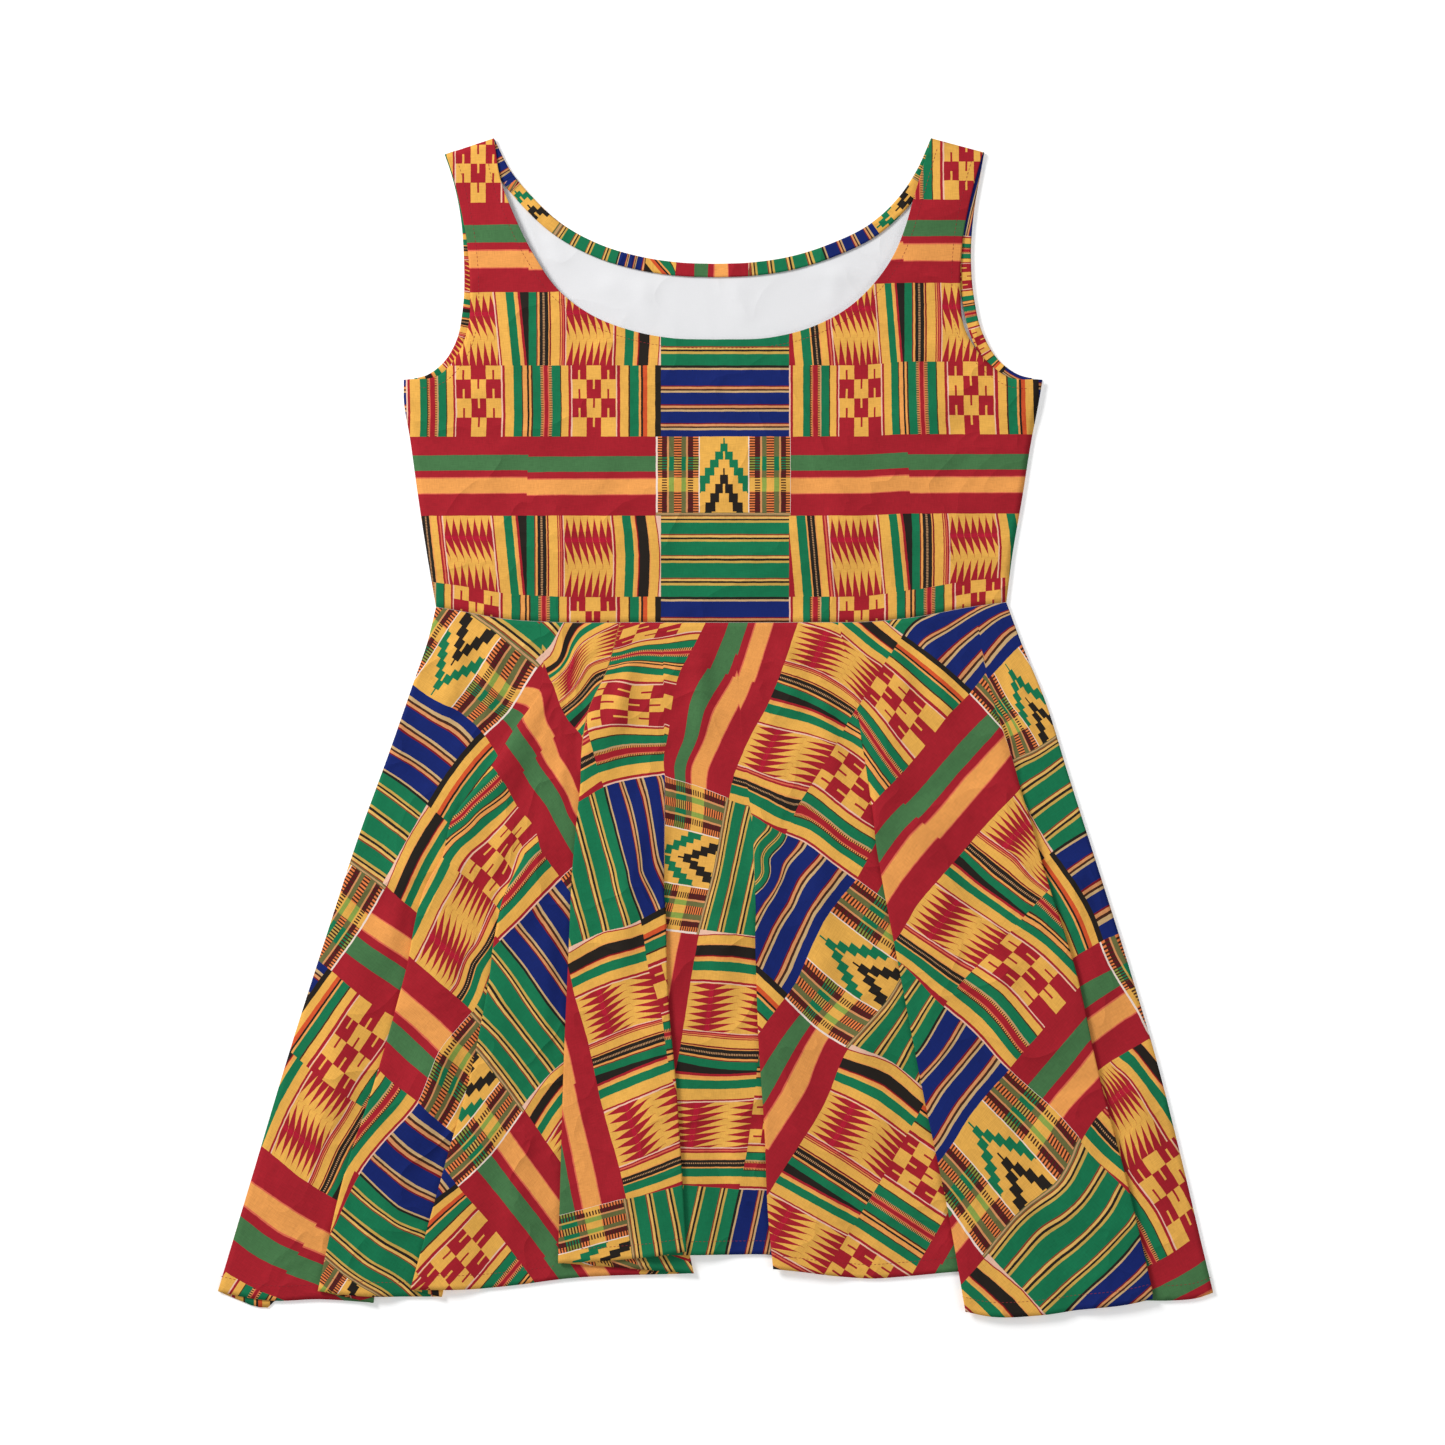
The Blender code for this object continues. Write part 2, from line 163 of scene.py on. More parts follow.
FRONT_NECK = {
    "left": ((0, 290.5), (-32.5, 291.5), (-64, 297.5), (-94, 309.5), (-118, 328),
             (-135.5, 353), (-152, 386.5), (-161, 410.5), (-166, 441.5)),
    "right": ((0, 290.5), (41, 292), (71, 299.5), (99.5, 314.5), (119.5, 333.5),
              (133, 353), (142, 374.5), (147.5, 393.5), (161.5, 441.5)),
}
WAIST = ((-209.5, 90.5), (-191.5, 87.5), (-161.5, 82), (-116.5, 79), (-56.5, 79),
         (63.5, 79), (123.5, 80), (153.5, 83.5), (191, 90.5), (218, 94))
SKIRT_EDGE = {
    "left": ((-209.5, 90.5), (-215.5, 65.5), (-227, 32), (-244, -17), (-268, -83),
             (-291.5, -155.5), (-319, -242), (-345.5, -330.5), (-373, -422.5)),
    "right": ((218, 94), (228.5, 65.5), (247, 20.5), (264.5, -35.5), (286, -103),
              (309.5, -178), (329.5, -245.5), (348.5, -320.5), (365.5, -392), (373, -423.5)),
}
BACK_HEM = ((-373, -422.5), (-357, -429.5), (-334, -434.5), (-329, -428.5), (-290, -419), (-227, -415),
            (-116, -398), (-23, -386), (42, -389), (116, -405), (180, -402), (202, -430),
            (243, -436), (326, -423), (352, -423), (373, -423.5))


# %% Smooth lines through a table's points
def smooth(value):
    """0 up to 0, 1 from 1 on, and an even S between them."""
    value = np.clip(value, 0.0, 1.0)
    return value * value * (3 - 2 * value)


STEPS_PER_POINT = 60


def smooth_line(table, fractions):
    """Points at these fractions of the length of a smooth line through a table's points."""
    points = np.array(table, float)
    chord = np.concatenate([[0], np.cumsum(np.linalg.norm(np.diff(points, axis=0), axis=1))])
    slope = np.gradient(points, chord, axis=0)
    at = np.linspace(0, chord[-1], STEPS_PER_POINT * len(points))
    left = np.clip(np.searchsorted(chord, at, side="right") - 1, 0, len(points) - 2)
    span = (chord[left + 1] - chord[left])[:, None]
    u = (at[:, None] - chord[left][:, None]) / span
    line = (
        points[left] * (1 + 2 * u) * (1 - u) ** 2
        + slope[left] * span * u * (1 - u) ** 2
        + points[left + 1] * u * u * (3 - 2 * u)
        + slope[left + 1] * span * u * u * (u - 1)
    )
    length = np.concatenate([[0], np.cumsum(np.linalg.norm(np.diff(line, axis=0), axis=1))])
    wanted = np.asarray(fractions) * length[-1]
    return np.column_stack([np.interp(wanted, length, line[:, axis]) for axis in (0, 1)])


def line_x(table, y):
    """Where a line that runs down the dress is, at height y."""
    line = smooth_line(table, np.linspace(0, 1, 80))
    return np.interp(-y, -line[:, 1], line[:, 0])


def line_y(table, x):
    """Where a line that runs across the dress is, at x."""
    line = smooth_line(table, np.linspace(0, 1, 80))
    return np.interp(x, line[:, 0], line[:, 1])


waist_length = np.linalg.norm(np.diff(smooth_line(WAIST, np.linspace(0, 1, 200)), axis=0), axis=1).sum()
print("half waist", round(waist_length), "mm")


# %% [markdown]
# ## Cloth, from a net of points
#
# Cotton poplin is a quarter of a millimetre thick, and a sewn panel with its turnings lies nearer to
# three quarters. Each panel is an open net, given its wall by a Solidify modifier. The net carries a UV
# map named "print", which says where each point lies on the bolt of cloth, counted in repeats of its
# pattern. The outside of the cloth takes the print, and the inside is plain, as on real printed cotton.

# %% A panel of cloth
WALL = 0.75
WELD = 1e-6  # metres: the halves of the bodice meet on the centre line


def add_cloth(name, nets, prints, materials, flip=False):
    """An object from nets of points in mm, with one print position for each point."""
    bm = bmesh.new()
    layer = bm.loops.layers.uv.new("print")
    for net, spots in zip(nets, prints):
        verts = [[bm.verts.new(point * MM) for point in row] for row in net]
        for row in range(len(net) - 1):
            for column in range(len(net[0]) - 1):
                corners = [(row, column), (row, column + 1), (row + 1, column + 1), (row + 1, column)]
                if flip:
                    corners.reverse()
                face = bm.faces.new([verts[r][c] for r, c in corners])
                for loop, (r, c) in zip(face.loops, corners):
                    loop[layer].uv = spots[r][c]
    bmesh.ops.remove_doubles(bm, verts=bm.verts, dist=WELD)
    mesh = bpy.data.meshes.new(name)
    bm.to_mesh(mesh)
    bm.free()
    mesh.shade_smooth()
    for material in materials:
        mesh.materials.append(material)
    cloth = bpy.data.objects.new(name, mesh)
    CLOTH_COLLECTION.objects.link(cloth)
    shell = cloth.modifiers.new("wall", "SOLIDIFY")
    shell.thickness = WALL * MM
    shell.offset = 0
    shell.use_quality_normals = True
    shell.material_offset = 1
    shell.material_offset_rim = 0
    return cloth


# %% [markdown]
# ## Where the print lies
#
# The repeat is 385 by 231 threads of the chart, and a thread is 0.75 mm. On the bodice the cloth is cut
# straight, so the print follows the panel. On the skirt the grain turns with the part circle, and each
# fold shows another stretch of it. A tailor pins a pattern to cloth with a few marks. The same works here:
# each stretch between two folds has a few marks where a stripe is known to lie, and a thin plate spline,
# the smoothest sheet through all its marks, gives the print everywhere between them.

# %% Print positions from marks
REPEAT = (385.0, 231.0)  # threads across and down
THREAD = 0.75
BODICE_MARK = (-141.375, 217.875)  # where a repeat's upper left corner lies on the front, in mm
# How the print strays up each side of the bodice: heights in mm, then threads sideways, then mm upwards
STRAY = {
    "left": ((170, 235, 270, 327, 370, 393, 410), (0, -3, -2, -2, -2, -2, -2), (0, 0, 0, 6, 2, -2, -2.7)),
    "right": ((150, 235, 271, 333, 371, 400), (0, 7, 8, 8, 10, 12), (-1.6, -1.8, -3, -1, -3.6, -4.3)),
}


# On each side, where the straying starts and over what width it grows to the whole
STRAY_FROM = {"left": (60, 70), "right": (105, 40)}
WAIST_HOLD = 20  # up to this height above the waist the print follows the seam
WAIST_FADE = 60  # and over this height it lets go of it
PLATE_UNIT = 100  # a plate is worked out in units of 100 mm, which keeps its sums near 1
PLATE_SLACK = 0.002  # a mark may be missed by this much, so that two close marks don't buckle the plate


def plate_through(marks):
    """A function of points that takes each mark (x, y, threads) and is as smooth as a thin plate."""
    marks = np.array(marks, float)
    spots = marks[:, :2] / PLATE_UNIT

    def bend(a, b):
        square = ((a[:, None, :] - b[None, :, :]) ** 2).sum(axis=2)
        return 0.5 * square * np.log(square + 1e-12)

    count = len(spots)
    plane = np.column_stack([np.ones(count), spots])
    matrix = np.zeros((count + 3, count + 3))
    matrix[:count, :count] = bend(spots, spots) + PLATE_SLACK * np.eye(count)
    matrix[:count, count:] = plane
    matrix[count:, :count] = plane.T
    answer = np.linalg.solve(matrix, np.concatenate([marks[:, 2], np.zeros(3)]))

    def value(points):
        points = points.reshape(-1, 2) / PLATE_UNIT
        return bend(points, spots) @ answer[:count] + np.column_stack(
            [np.ones(len(points)), points]) @ answer[count:]

    return value


def bodice_print(net):
    """The print lies straight, but follows the waist seam and strays a little up the sides."""
    x, y = net[..., 0], net[..., 1]
    level = line_y(WAIST, 0.0)
    near_waist = 1 - smooth((y - level - WAIST_HOLD) / WAIST_FADE)
    across = (x - BODICE_MARK[0]) / THREAD
    lift = -(line_y(WAIST, x) - level) * near_waist
    for side, outwards in (("left", -x), ("right", x)):
        begins, reach = STRAY_FROM[side]
        share = smooth((outwards - begins) / reach)
        heights, sideways, upwards = STRAY[side]
        across = across + share * np.interp(y, heights, sideways)
        lift = lift + share * np.interp(y, heights, upwards)
    down = (BODICE_MARK[1] - y - lift) / THREAD
    return np.stack([across / REPEAT[0], down / REPEAT[1]], axis=-1)


# %% [markdown]
# ## Marks for the skirt
#
# Each table holds one stretch between two folds: at these places a stripe of this number of threads lies,
# counted across or down the repeat. The places are read in pixels of a picture of 1445 a side,
# and become millimetres on the dress.

# %% Marks: threads, then the places (x, y) in pixels
PIXEL = 0.75  # millimetres of cloth in a pixel
PIXEL_ORIGIN = (715.5, 727.5)

# Near the waist some stretches are still one cloth, so they share marks: stretches, across, down
SHARED_MARKS = (
    ((0, 1, 2), {
        134: ((545, 650), (535, 661)), 118: ((576, 624), (565, 645), (558, 662)),
        103: ((598, 623), (570, 655)),
        88: ((616, 624), (590, 638), (572, 655)),
    }, {
        160: ((618, 625), (612, 672), (597, 690)), 103: ((572, 665),), 79: ((549, 678),),
        71: ((466, 620), (488, 636)), 58: ((541, 691),),
    }),
    ((1, 2), {
        41: ((620, 651), (585, 665)), 15: ((610, 673), (588, 688), (563, 711)), 0: ((585, 708), (572, 720)),
        17: ((497, 781), (480, 797), (463, 815)), -5: ((508, 797), (480, 817), (455, 840)),
        -30: ((518, 810), (505, 827), (490, 843)), -78: ((535, 840), (523, 851)),
    }, {
        79: ((563, 711), (582, 735)), 58: ((546, 722), (560, 755), (578, 790)),
        41: ((522, 723), (539, 747), (552, 770), (568, 795)), 34: ((517, 728), (534, 755), (552, 782)),
        19: ((505, 745), (531, 784), (550, 811), (560, 830)),
        0: ((494, 768), (509, 790), (519, 809), (532, 823), (540, 848)), -20: ((506, 828), (521, 845)),
        -39: ((489, 845), (498, 853)),
    }),
    ((3, 4), {
        88: ((616, 622),), 41: ((619, 649), (660, 639), (695, 633)), 17: ((640, 653), (690, 652)),
        -5: ((625, 665), (675, 669)), -30: ((675, 686),), -78: ((670, 731),), -96: ((664, 748),),
        -122: ((663, 774),),
    }, {}),
    ((5, 6), {
        88: ((870, 657), (879, 662)), 41: ((850, 687), (859, 695)), 15: ((850, 710),),
    }, {160: ((904, 636), (848, 722))}),
    ((6, 7), {134: ((986, 706), (999, 721))}, {
        162: ((937, 612),), 185: ((969, 616), (1004, 601)), 203: ((1004, 614),), 222: ((1015, 630),),
    }),
)
MARKS = (
    {"across": {
        222: ((429, 659),), 211: ((466, 620),), 197: ((432, 694), (451, 666)), 183: ((488, 636),),
        134: ((535, 661), (505, 710), (476, 737), (444, 777), (407, 840), (382, 885), (358, 926),
        (329, 967)), 88: ((360, 997), (336, 1033), (310, 1070), (290, 1107), (271, 1144)),
        73: ((361, 1021), (333, 1065)),
        41: ((384, 1047), (357, 1084), (341, 1114), (320, 1147), (305, 1179), (238, 1282)),
        15: ((325, 1189), (343, 1150), (362, 1118)), -1: ((333, 1197), (345, 1176)),
    }, "down": {
        71: ((466, 620), (488, 636)), 58: ((519, 687), (541, 691)), 41: ((509, 701), (527, 707)),
        31: ((451, 666),), 19: ((500, 717), (512, 731)), 0: ((414, 685), (456, 709), (476, 725)),
        -9: ((409, 700), (439, 719), (471, 743)), -28: ((401, 723), (424, 739), (456, 764)),
        -46: ((391, 748), (442, 783)), -69: ((384, 771), (429, 804)), -86: ((378, 785), (422, 818)),
        -108: ((371, 808), (408, 836)), -129: ((361, 834), (396, 859)), -150: ((351, 857), (384, 880)),
        -173: ((369, 911), (416, 943)), -190: ((358, 927), (411, 964)), -212: ((342, 950), (401, 992)),
        -231: ((330, 969), (374, 1005), (395, 1017)), -249: ((349, 1014), (374, 1032)),
        -269: ((336, 1033), (359, 1051)), -288: ((323, 1053), (343, 1071)),
        -302: ((311, 1070), (349, 1098)), -359: ((300, 1138),),
        -383: ((268, 1150), (303, 1179), (339, 1201)), -404: ((252, 1182), (288, 1207), (316, 1224)),
        -421: ((244, 1207), (279, 1234), (326, 1255)), -443: ((233, 1240), (266, 1263), (319, 1284)),
        -462: ((225, 1271), (262, 1291)),
    }},
    {"across": {
        -5: ((440, 860),), -30: ((471, 860), (461, 879), (441, 907), (416, 950)),
        -78: ((512, 884), (503, 890), (473, 944), (452, 982)), -98: ((497, 930), (473, 963), (454, 999)),
        -122: ((472, 1012), (441, 1049), (419, 1101), (389, 1135), (361, 1170), (343, 1206), (335, 1224)),
    }, "down": {
        -71: ((455, 868), (470, 880), (487, 895)), -128: ((444, 947),),
        -152: ((414, 959), (433, 976), (467, 1006)), -173: ((404, 987), (439, 1018)),
        -190: ((398, 1012), (440, 1051)), -212: ((390, 1042), (429, 1077)),
        -231: ((381, 1071), (419, 1101)), -240: ((410, 1116), (449, 1145)),
        -259: ((392, 1136), (441, 1171)), -277: ((376, 1157), (435, 1197)),
        -300: ((362, 1173), (398, 1207), (427, 1220)), -317: ((356, 1190), (387, 1215), (424, 1234)),
        -339: ((344, 1210), (378, 1237), (417, 1262)), -360: ((335, 1232), (370, 1262), (414, 1293)),
        -381: ((328, 1254), (384, 1293)),
    }},
    {"across": {
        -122: ((572, 868), (549, 890), (534, 905), (520, 920), (501, 938)),
        -251: ((566, 1060), (537, 1088), (512, 1120), (490, 1150), (456, 1183), (436, 1198)),
        -267: ((564, 1077), (534, 1112)), -297: ((479, 1211), (458, 1234), (434, 1258), (415, 1280)),
        -344: ((471, 1286),),
    }, "down": {
        41: ((576, 815),), 34: ((568, 815),), 19: ((570, 848),), 0: ((561, 878),),
        -9: ((552, 889), (571, 912)), -28: ((536, 905), (570, 959)), -46: ((518, 924), (570, 995)),
        -69: ((502, 940), (568, 1028)), -86: ((494, 954), (568, 1055)), -108: ((490, 984), (553, 1070)),
        -129: ((474, 1010), (538, 1086)), -150: ((477, 1043), (523, 1103)),
        -231: ((458, 1185), (488, 1220)),
    }},
    {"across": {
        41: ((640, 642),), -30: ((605, 684), (632, 688)), -78: ((590, 735), (620, 729)),
        -96: ((605, 756),), -122: ((580, 800), (605, 785), (640, 777)),
        -251: ((571, 946), (607, 930), (626, 926), (664, 907)), -298: ((575, 995), (650, 970)),
        -344: ((588, 1040), (660, 1015)), -370: ((592, 1062), (628, 1049), (663, 1036)),
        -388: ((596, 1078), (669, 1056)), -415: ((604, 1105), (672, 1085)),
        -463: ((618, 1160), (680, 1140)), -507: ((626, 1197), (680, 1183)),
    }, "down": {
        0: ((706, 622), (697, 640), (680, 672), (671, 712), (666, 745), (664, 775)),
        -18: ((684, 620), (651, 700)), -38: ((660, 625), (629, 700), (628, 720)),
        -57: ((635, 635), (602, 695), (600, 715)),
        -71: ((619, 640), (587, 710), (640, 917), (648, 965), (661, 1010), (668, 1060)),
        -9: ((662, 777),), -28: ((640, 778), (661, 871)), -46: ((622, 782), (641, 871)),
        -69: ((605, 785), (628, 871)), -86: ((592, 795), (615, 880)), -108: ((576, 811), (594, 880)),
        -129: ((573, 887), (587, 937)),
        -152: ((575, 995), (588, 1040), (601, 1100), (618, 1160), (626, 1195)), -173: ((600, 1190),),
        -190: ((579, 1190),),
    }},
    {"across": {
        41: ((786, 657),), -30: ((760, 718),), -78: ((742, 760),),
        -122: ((664, 777), (700, 787), (730, 799)), -251: ((664, 925), (699, 929), (756, 936)),
        -297: ((691, 977), (757, 985)), -344: ((684, 1025), (740, 1031)),
        -370: ((680, 1047), (757, 1055)), -388: ((675, 1063), (740, 1073)),
        -415: ((676, 1096), (740, 1101)), -463: ((680, 1142),), -507: ((682, 1183),),
    }, "down": {
        79: ((798, 622), (780, 675), (765, 710), (742, 755), (729, 799), (716, 870), (699, 935),
        (683, 1030), (676, 1070)), 58: ((773, 624), (751, 680), (738, 710)),
        41: ((754, 624), (732, 680), (704, 740), (691, 768)), 34: ((745, 624), (704, 712), (686, 768)),
        19: ((728, 622), (709, 668), (684, 740), (674, 768)),
        0: ((706, 622), (697, 640), (680, 672), (671, 712), (666, 745), (664, 775)),
        102: ((749, 809), (735, 871)), 103: ((694, 1120),), 128: ((724, 1120),), 160: ((751, 1120),),
    }},
    {"across": {
        88: ((811, 623), (838, 634), (870, 657)), 41: ((786, 657), (815, 666), (850, 687)),
        15: ((778, 676), (820, 693), (850, 710)), -3: ((772, 691), (810, 706), (845, 727)),
        -16: ((767, 704), (805, 718), (838, 737)), -30: ((760, 718), (790, 729), (836, 745), (862, 764)),
        -78: ((744, 761), (775, 775), (831, 803), (874, 833)), -98: ((736, 775), (769, 794), (795, 812)),
        -96: ((801, 807), (846, 841)), -122: ((730, 800), (762, 820), (804, 841), (842, 869), (886, 901)),
        -251: ((757, 965), (789, 995), (820, 1025), (856, 1046), (889, 1060), (922, 1086)),
        -297: ((831, 1086), (874, 1111)),
    }, "down": {
        79: ((798, 622), (780, 675), (765, 710), (742, 755), (729, 799)), 103: ((818, 652), (773, 740)),
        102: ((749, 809), (742, 840)), 123: ((770, 829), (753, 871)), 145: ((782, 833), (763, 871)),
        160: ((848, 722), (832, 752), (808, 790), (797, 808)), 162: ((785, 833), (768, 859), (754, 894)),
        185: ((803, 847), (777, 888), (755, 928)), 203: ((821, 860), (792, 905), (760, 965)),
        222: ((841, 874), (811, 915), (794, 952), (780, 982)), 231: ((856, 880), (818, 933), (796, 982)),
        250: ((802, 1011), (764, 1064)), 265: ((811, 1022), (770, 1090)),
        272: ((816, 1027), (787, 1077), (768, 1109)), 289: ((831, 1034), (807, 1086), (792, 1111)),
        310: ((909, 969), (889, 1002), (867, 1027), (845, 1053), (815, 1120), (770, 1190)),
        333: ((924, 984), (878, 1055)), 354: ((934, 1000), (899, 1068)),
    }},
    {"across": {
        134: ((902, 634), (937, 660), (972, 691), (999, 721)),
        88: ((879, 662), (920, 699), (943, 719), (1016, 794), (1047, 853)),
        41: ((859, 695), (896, 738), (913, 759), (984, 829), (1019, 857)), 17: ((853, 712), (887, 760)),
        15: ((971, 849), (997, 872), (1040, 902)), -1: ((962, 859), (1025, 915)),
        -30: ((939, 879), (984, 916), (1022, 944), (1072, 991)),
        -78: ((911, 920), (964, 961), (1001, 986), (1039, 1029)), -96: ((967, 987), (1023, 1047)),
        -98: ((1097, 1118), (1112, 1138)), -122: ((909, 969), (938, 1000), (981, 1038), (1008, 1068),
        (1050, 1106), (1090, 1152), (1122, 1184)),
        -251: ((950, 1200), (984, 1248), (1026, 1292), (1046, 1314)), -267: ((972, 1262), (1018, 1312)),
    }, "down": {
        162: ((904, 634), (919, 620), (937, 612)), 185: ((922, 646), (969, 616), (1004, 601)),
        203: ((944, 662), (1004, 614)), 222: ((963, 679), (1015, 630)),
        231: ((972, 691), (950, 713), (924, 747), (880, 795)), 250: ((990, 711), (909, 799)),
        265: ((1000, 723), (962, 767), (920, 814)), 272: ((1004, 734), (965, 775), (911, 834)),
        289: ((1010, 755), (975, 797), (919, 861)),
        310: ((1016, 793), (990, 820), (958, 857), (917, 904), (902, 930)),
        334: ((1016, 833), (942, 920)), 391: ((1040, 898), (1001, 941), (961, 982), (917, 1050)),
        416: ((964, 1022), (922, 1078)), 434: ((981, 1041), (929, 1108)), 453: ((998, 1057), (951, 1120)),
        462: ((1008, 1070), (980, 1101), (954, 1140), (1033, 1040), (1062, 1006)),
        481: ((1029, 1083), (1079, 1025)), 503: ((1050, 1101), (1091, 1051)),
        520: ((1064, 1116), (1096, 1081)),
        541: ((1081, 1140), (1096, 1116), (1058, 1184), (1020, 1214), (990, 1250)),
        564: ((1104, 1168), (1042, 1232), (1007, 1272)), 585: ((1120, 1188), (1070, 1250), (1025, 1290)),
        607: ((1130, 1224), (1070, 1282), (1042, 1308)), 623: ((1137, 1236), (1066, 1310)),
        647: ((1145, 1268), (1100, 1308)),
    }},
    {"across": {
        222: ((1019, 648), (1030, 664)), 197: ((1004, 663), (1021, 692)),
        173: ((995, 674), (1012, 706), (1040, 747)),
        134: ((1008, 758), (1026, 806), (1053, 851), (1079, 888), (1094, 915), (1109, 956), (1142, 1010)),
        118: ((1141, 1045), (1158, 1070)), 103: ((1132, 1055), (1165, 1103)),
        88: ((1113, 1062), (1147, 1107), (1180, 1156)),
        41: ((1097, 1083), (1125, 1168), (1156, 1212), (1173, 1248)),
    }, "down": {
        231: ((1021, 646), (991, 676), (972, 691)), 310: ((1059, 737), (1034, 753), (1016, 761)),
        333: ((1065, 760), (1022, 791)), 354: ((1074, 786), (1031, 816)), 376: ((1081, 810), (1043, 840)),
        391: ((1088, 829), (1053, 851)), 416: ((1096, 856), (1070, 874)), 434: ((1104, 883), (1083, 896)),
        453: ((1113, 911), (1097, 920)), 462: ((1120, 933), (1076, 956)), 481: ((1115, 967), (1074, 989)),
        503: ((1126, 990), (1082, 1021)), 520: ((1142, 1009), (1091, 1044)),
        541: ((1150, 1038), (1109, 1062), (1097, 1071)), 565: ((1108, 1103),),
        622: ((1140, 1160), (1168, 1140)), 693: ((1190, 1240), (1160, 1260)),
        712: ((1206, 1257), (1152, 1288)), 727: ((1210, 1278), (1168, 1300)),
    }},
)


def millimetres(place):
    return (place[0] - PIXEL_ORIGIN[0]) * PIXEL, (PIXEL_ORIGIN[1] - place[1]) * PIXEL


def mark_list(*tables):
    """(x, y, threads) for every place in the tables."""
    marks = []
    for table in tables:
        for threads, places in table.items():
            marks += [(*millimetres(place), threads) for place in places]
    return marks


def stretch_plates():
    """For each stretch of the skirt, the two plates that give threads across and threads down."""
    plates = []
    for index, marks in enumerate(MARKS):
        shared = [(across, down) for stretches, across, down in SHARED_MARKS if index in stretches]
        across = mark_list(marks["across"], *[pair[0] for pair in shared])
        down = mark_list(marks["down"], *[pair[1] for pair in shared])
        plates.append((plate_through(across), plate_through(down)))
    return plates


PLATES = stretch_plates()
print("stretches with a print map:", len(PLATES))


# %% [markdown]
# ## Creases
#
# Cloth that has been packed and laid out keeps soft creases: slanting ones from the underarm, upright
# ones below the waist seam where the skirt's fullness begins, and long ones that die out towards the
# hem. Each row below is one crease, and no two are alike. A minus height is a trough.

# %% Creases: start (x, y), end (x, y), half width and height, in mm
Crease = namedtuple("Crease", "start end width height")
CREASED = 2.3  # all the creases are this many times as high as in the tables
CREASE_FADE = 0.3  # share of its length in which a crease dies out at each end
BODICE_CREASES = (
    Crease((-196, 262), (-118, 232), 9, 1.1), Crease((-206, 246), (-150, 214), 7, -0.7),
    Crease((-190, 300), (-142, 262), 8, 0.8), Crease((206, 258), (128, 224), 10, 1.2),
    Crease((212, 238), (160, 204), 8, -0.8), Crease((186, 306), (140, 268), 8, 0.9),
    Crease((-122, 196), (-108, 112), 11, 0.9), Crease((-64, 178), (-58, 104), 9, -0.6),
    Crease((-18, 246), (-10, 180), 12, -0.7), Crease((38, 232), (48, 150), 10, 0.6),
    Crease((88, 204), (100, 106), 12, 0.9), Crease((146, 168), (152, 110), 8, -0.6),
    Crease((-176, 178), (-172, 118), 9, 0.7), Crease((186, 182), (184, 122), 9, 0.6),
    Crease((-90, 292), (-70, 268), 7, 0.6), Crease((94, 296), (70, 262), 8, 0.7),
)
BACK_CREASES = (
    Crease((-92, 336), (-40, 322), 8, 0.35), Crease((-58, 340), (-46, 300), 6, 0.3),
    Crease((12, 338), (24, 300), 7, 0.35), Crease((64, 342), (112, 336), 7, 0.3),
    Crease((92, 350), (86, 312), 6, 0.35), Crease((-128, 372), (-112, 344), 6, 0.3),
)
SKIRT_CREASES = (
    Crease((-186, 80), (-206, 0), 8, 1.3), Crease((-160, 78), (-176, 14), 7, 1.0),
    Crease((-214, -60), (-252, -190), 12, 1.2), Crease((-262, -150), (-300, -330), 16, 1.8),
    Crease((-148, -60), (-176, -150), 9, 1.3), Crease((-196, -210), (-226, -330), 13, 1.5),
    Crease((-104, 10), (-120, -60), 8, 1.0), Crease((-122, -130), (-134, -260), 14, 1.7),
    Crease((-140, -270), (-156, -400), 12, 1.3), Crease((-66, 60), (-76, -10), 8, 1.4),
    Crease((-60, -40), (-72, -210), 15, 2.0), Crease((-62, -250), (-68, -390), 13, 1.5),
    Crease((-12, 70), (-10, -20), 8, 1.2), Crease((4, -90), (4, -230), 12, 1.6),
    Crease((14, -270), (18, -390), 9, 1.2), Crease((48, 76), (62, 0), 8, 1.3),
    Crease((78, 40), (92, -60), 9, 1.1), Crease((70, -70), (84, -220), 16, 2.1),
    Crease((104, -200), (122, -330), 14, 1.7), Crease((86, -300), (92, -400), 10, 1.2),
    Crease((128, 74), (146, 20), 7, 1.2), Crease((158, 70), (178, 0), 8, 1.4),
    Crease((150, -50), (178, -160), 14, 1.8), Crease((202, -130), (232, -290), 17, 2.3),
    Crease((238, -260), (262, -400), 13, 1.6), Crease((212, 60), (238, -20), 7, 1.0),
    Crease((254, -90), (292, -220), 12, 1.5), Crease((306, -230), (338, -370), 12, 1.5),
)


def crease_height(creases, x, y):
    """Sum of the soft ridges and troughs at these places."""
    height = np.zeros_like(x)
    for crease in creases:
        start, end = np.array(crease.start, float), np.array(crease.end, float)
        span = end - start
        along = ((x - start[0]) * span[0] + (y - start[1]) * span[1]) / (span @ span)
        nearest = np.clip(along, 0, 1)
        off = np.hypot(x - start[0] - nearest * span[0], y - start[1] - nearest * span[1])
        ends = smooth(along / CREASE_FADE) * smooth((1 - along) / CREASE_FADE)
        height += CREASED * crease.height * np.exp(-(off / crease.width) ** 2) * ends
    return height


print("creases", len(BODICE_CREASES) + len(BACK_CREASES) + len(SKIRT_CREASES))


# %% [markdown]
# ## Bodice and bindings
#
# The bodice has no darts: its side seams and waist give it its shape. Each half is a net whose rows run
# from the centre line, or the neck edge, out to the side seam or the armhole. The back lies flat on the
# floor, and the front is crowned a few millimetres above it, because cloth never lies quite dead flat.
# A binding is a strip turned to the inside, so it follows the back's cut edge.

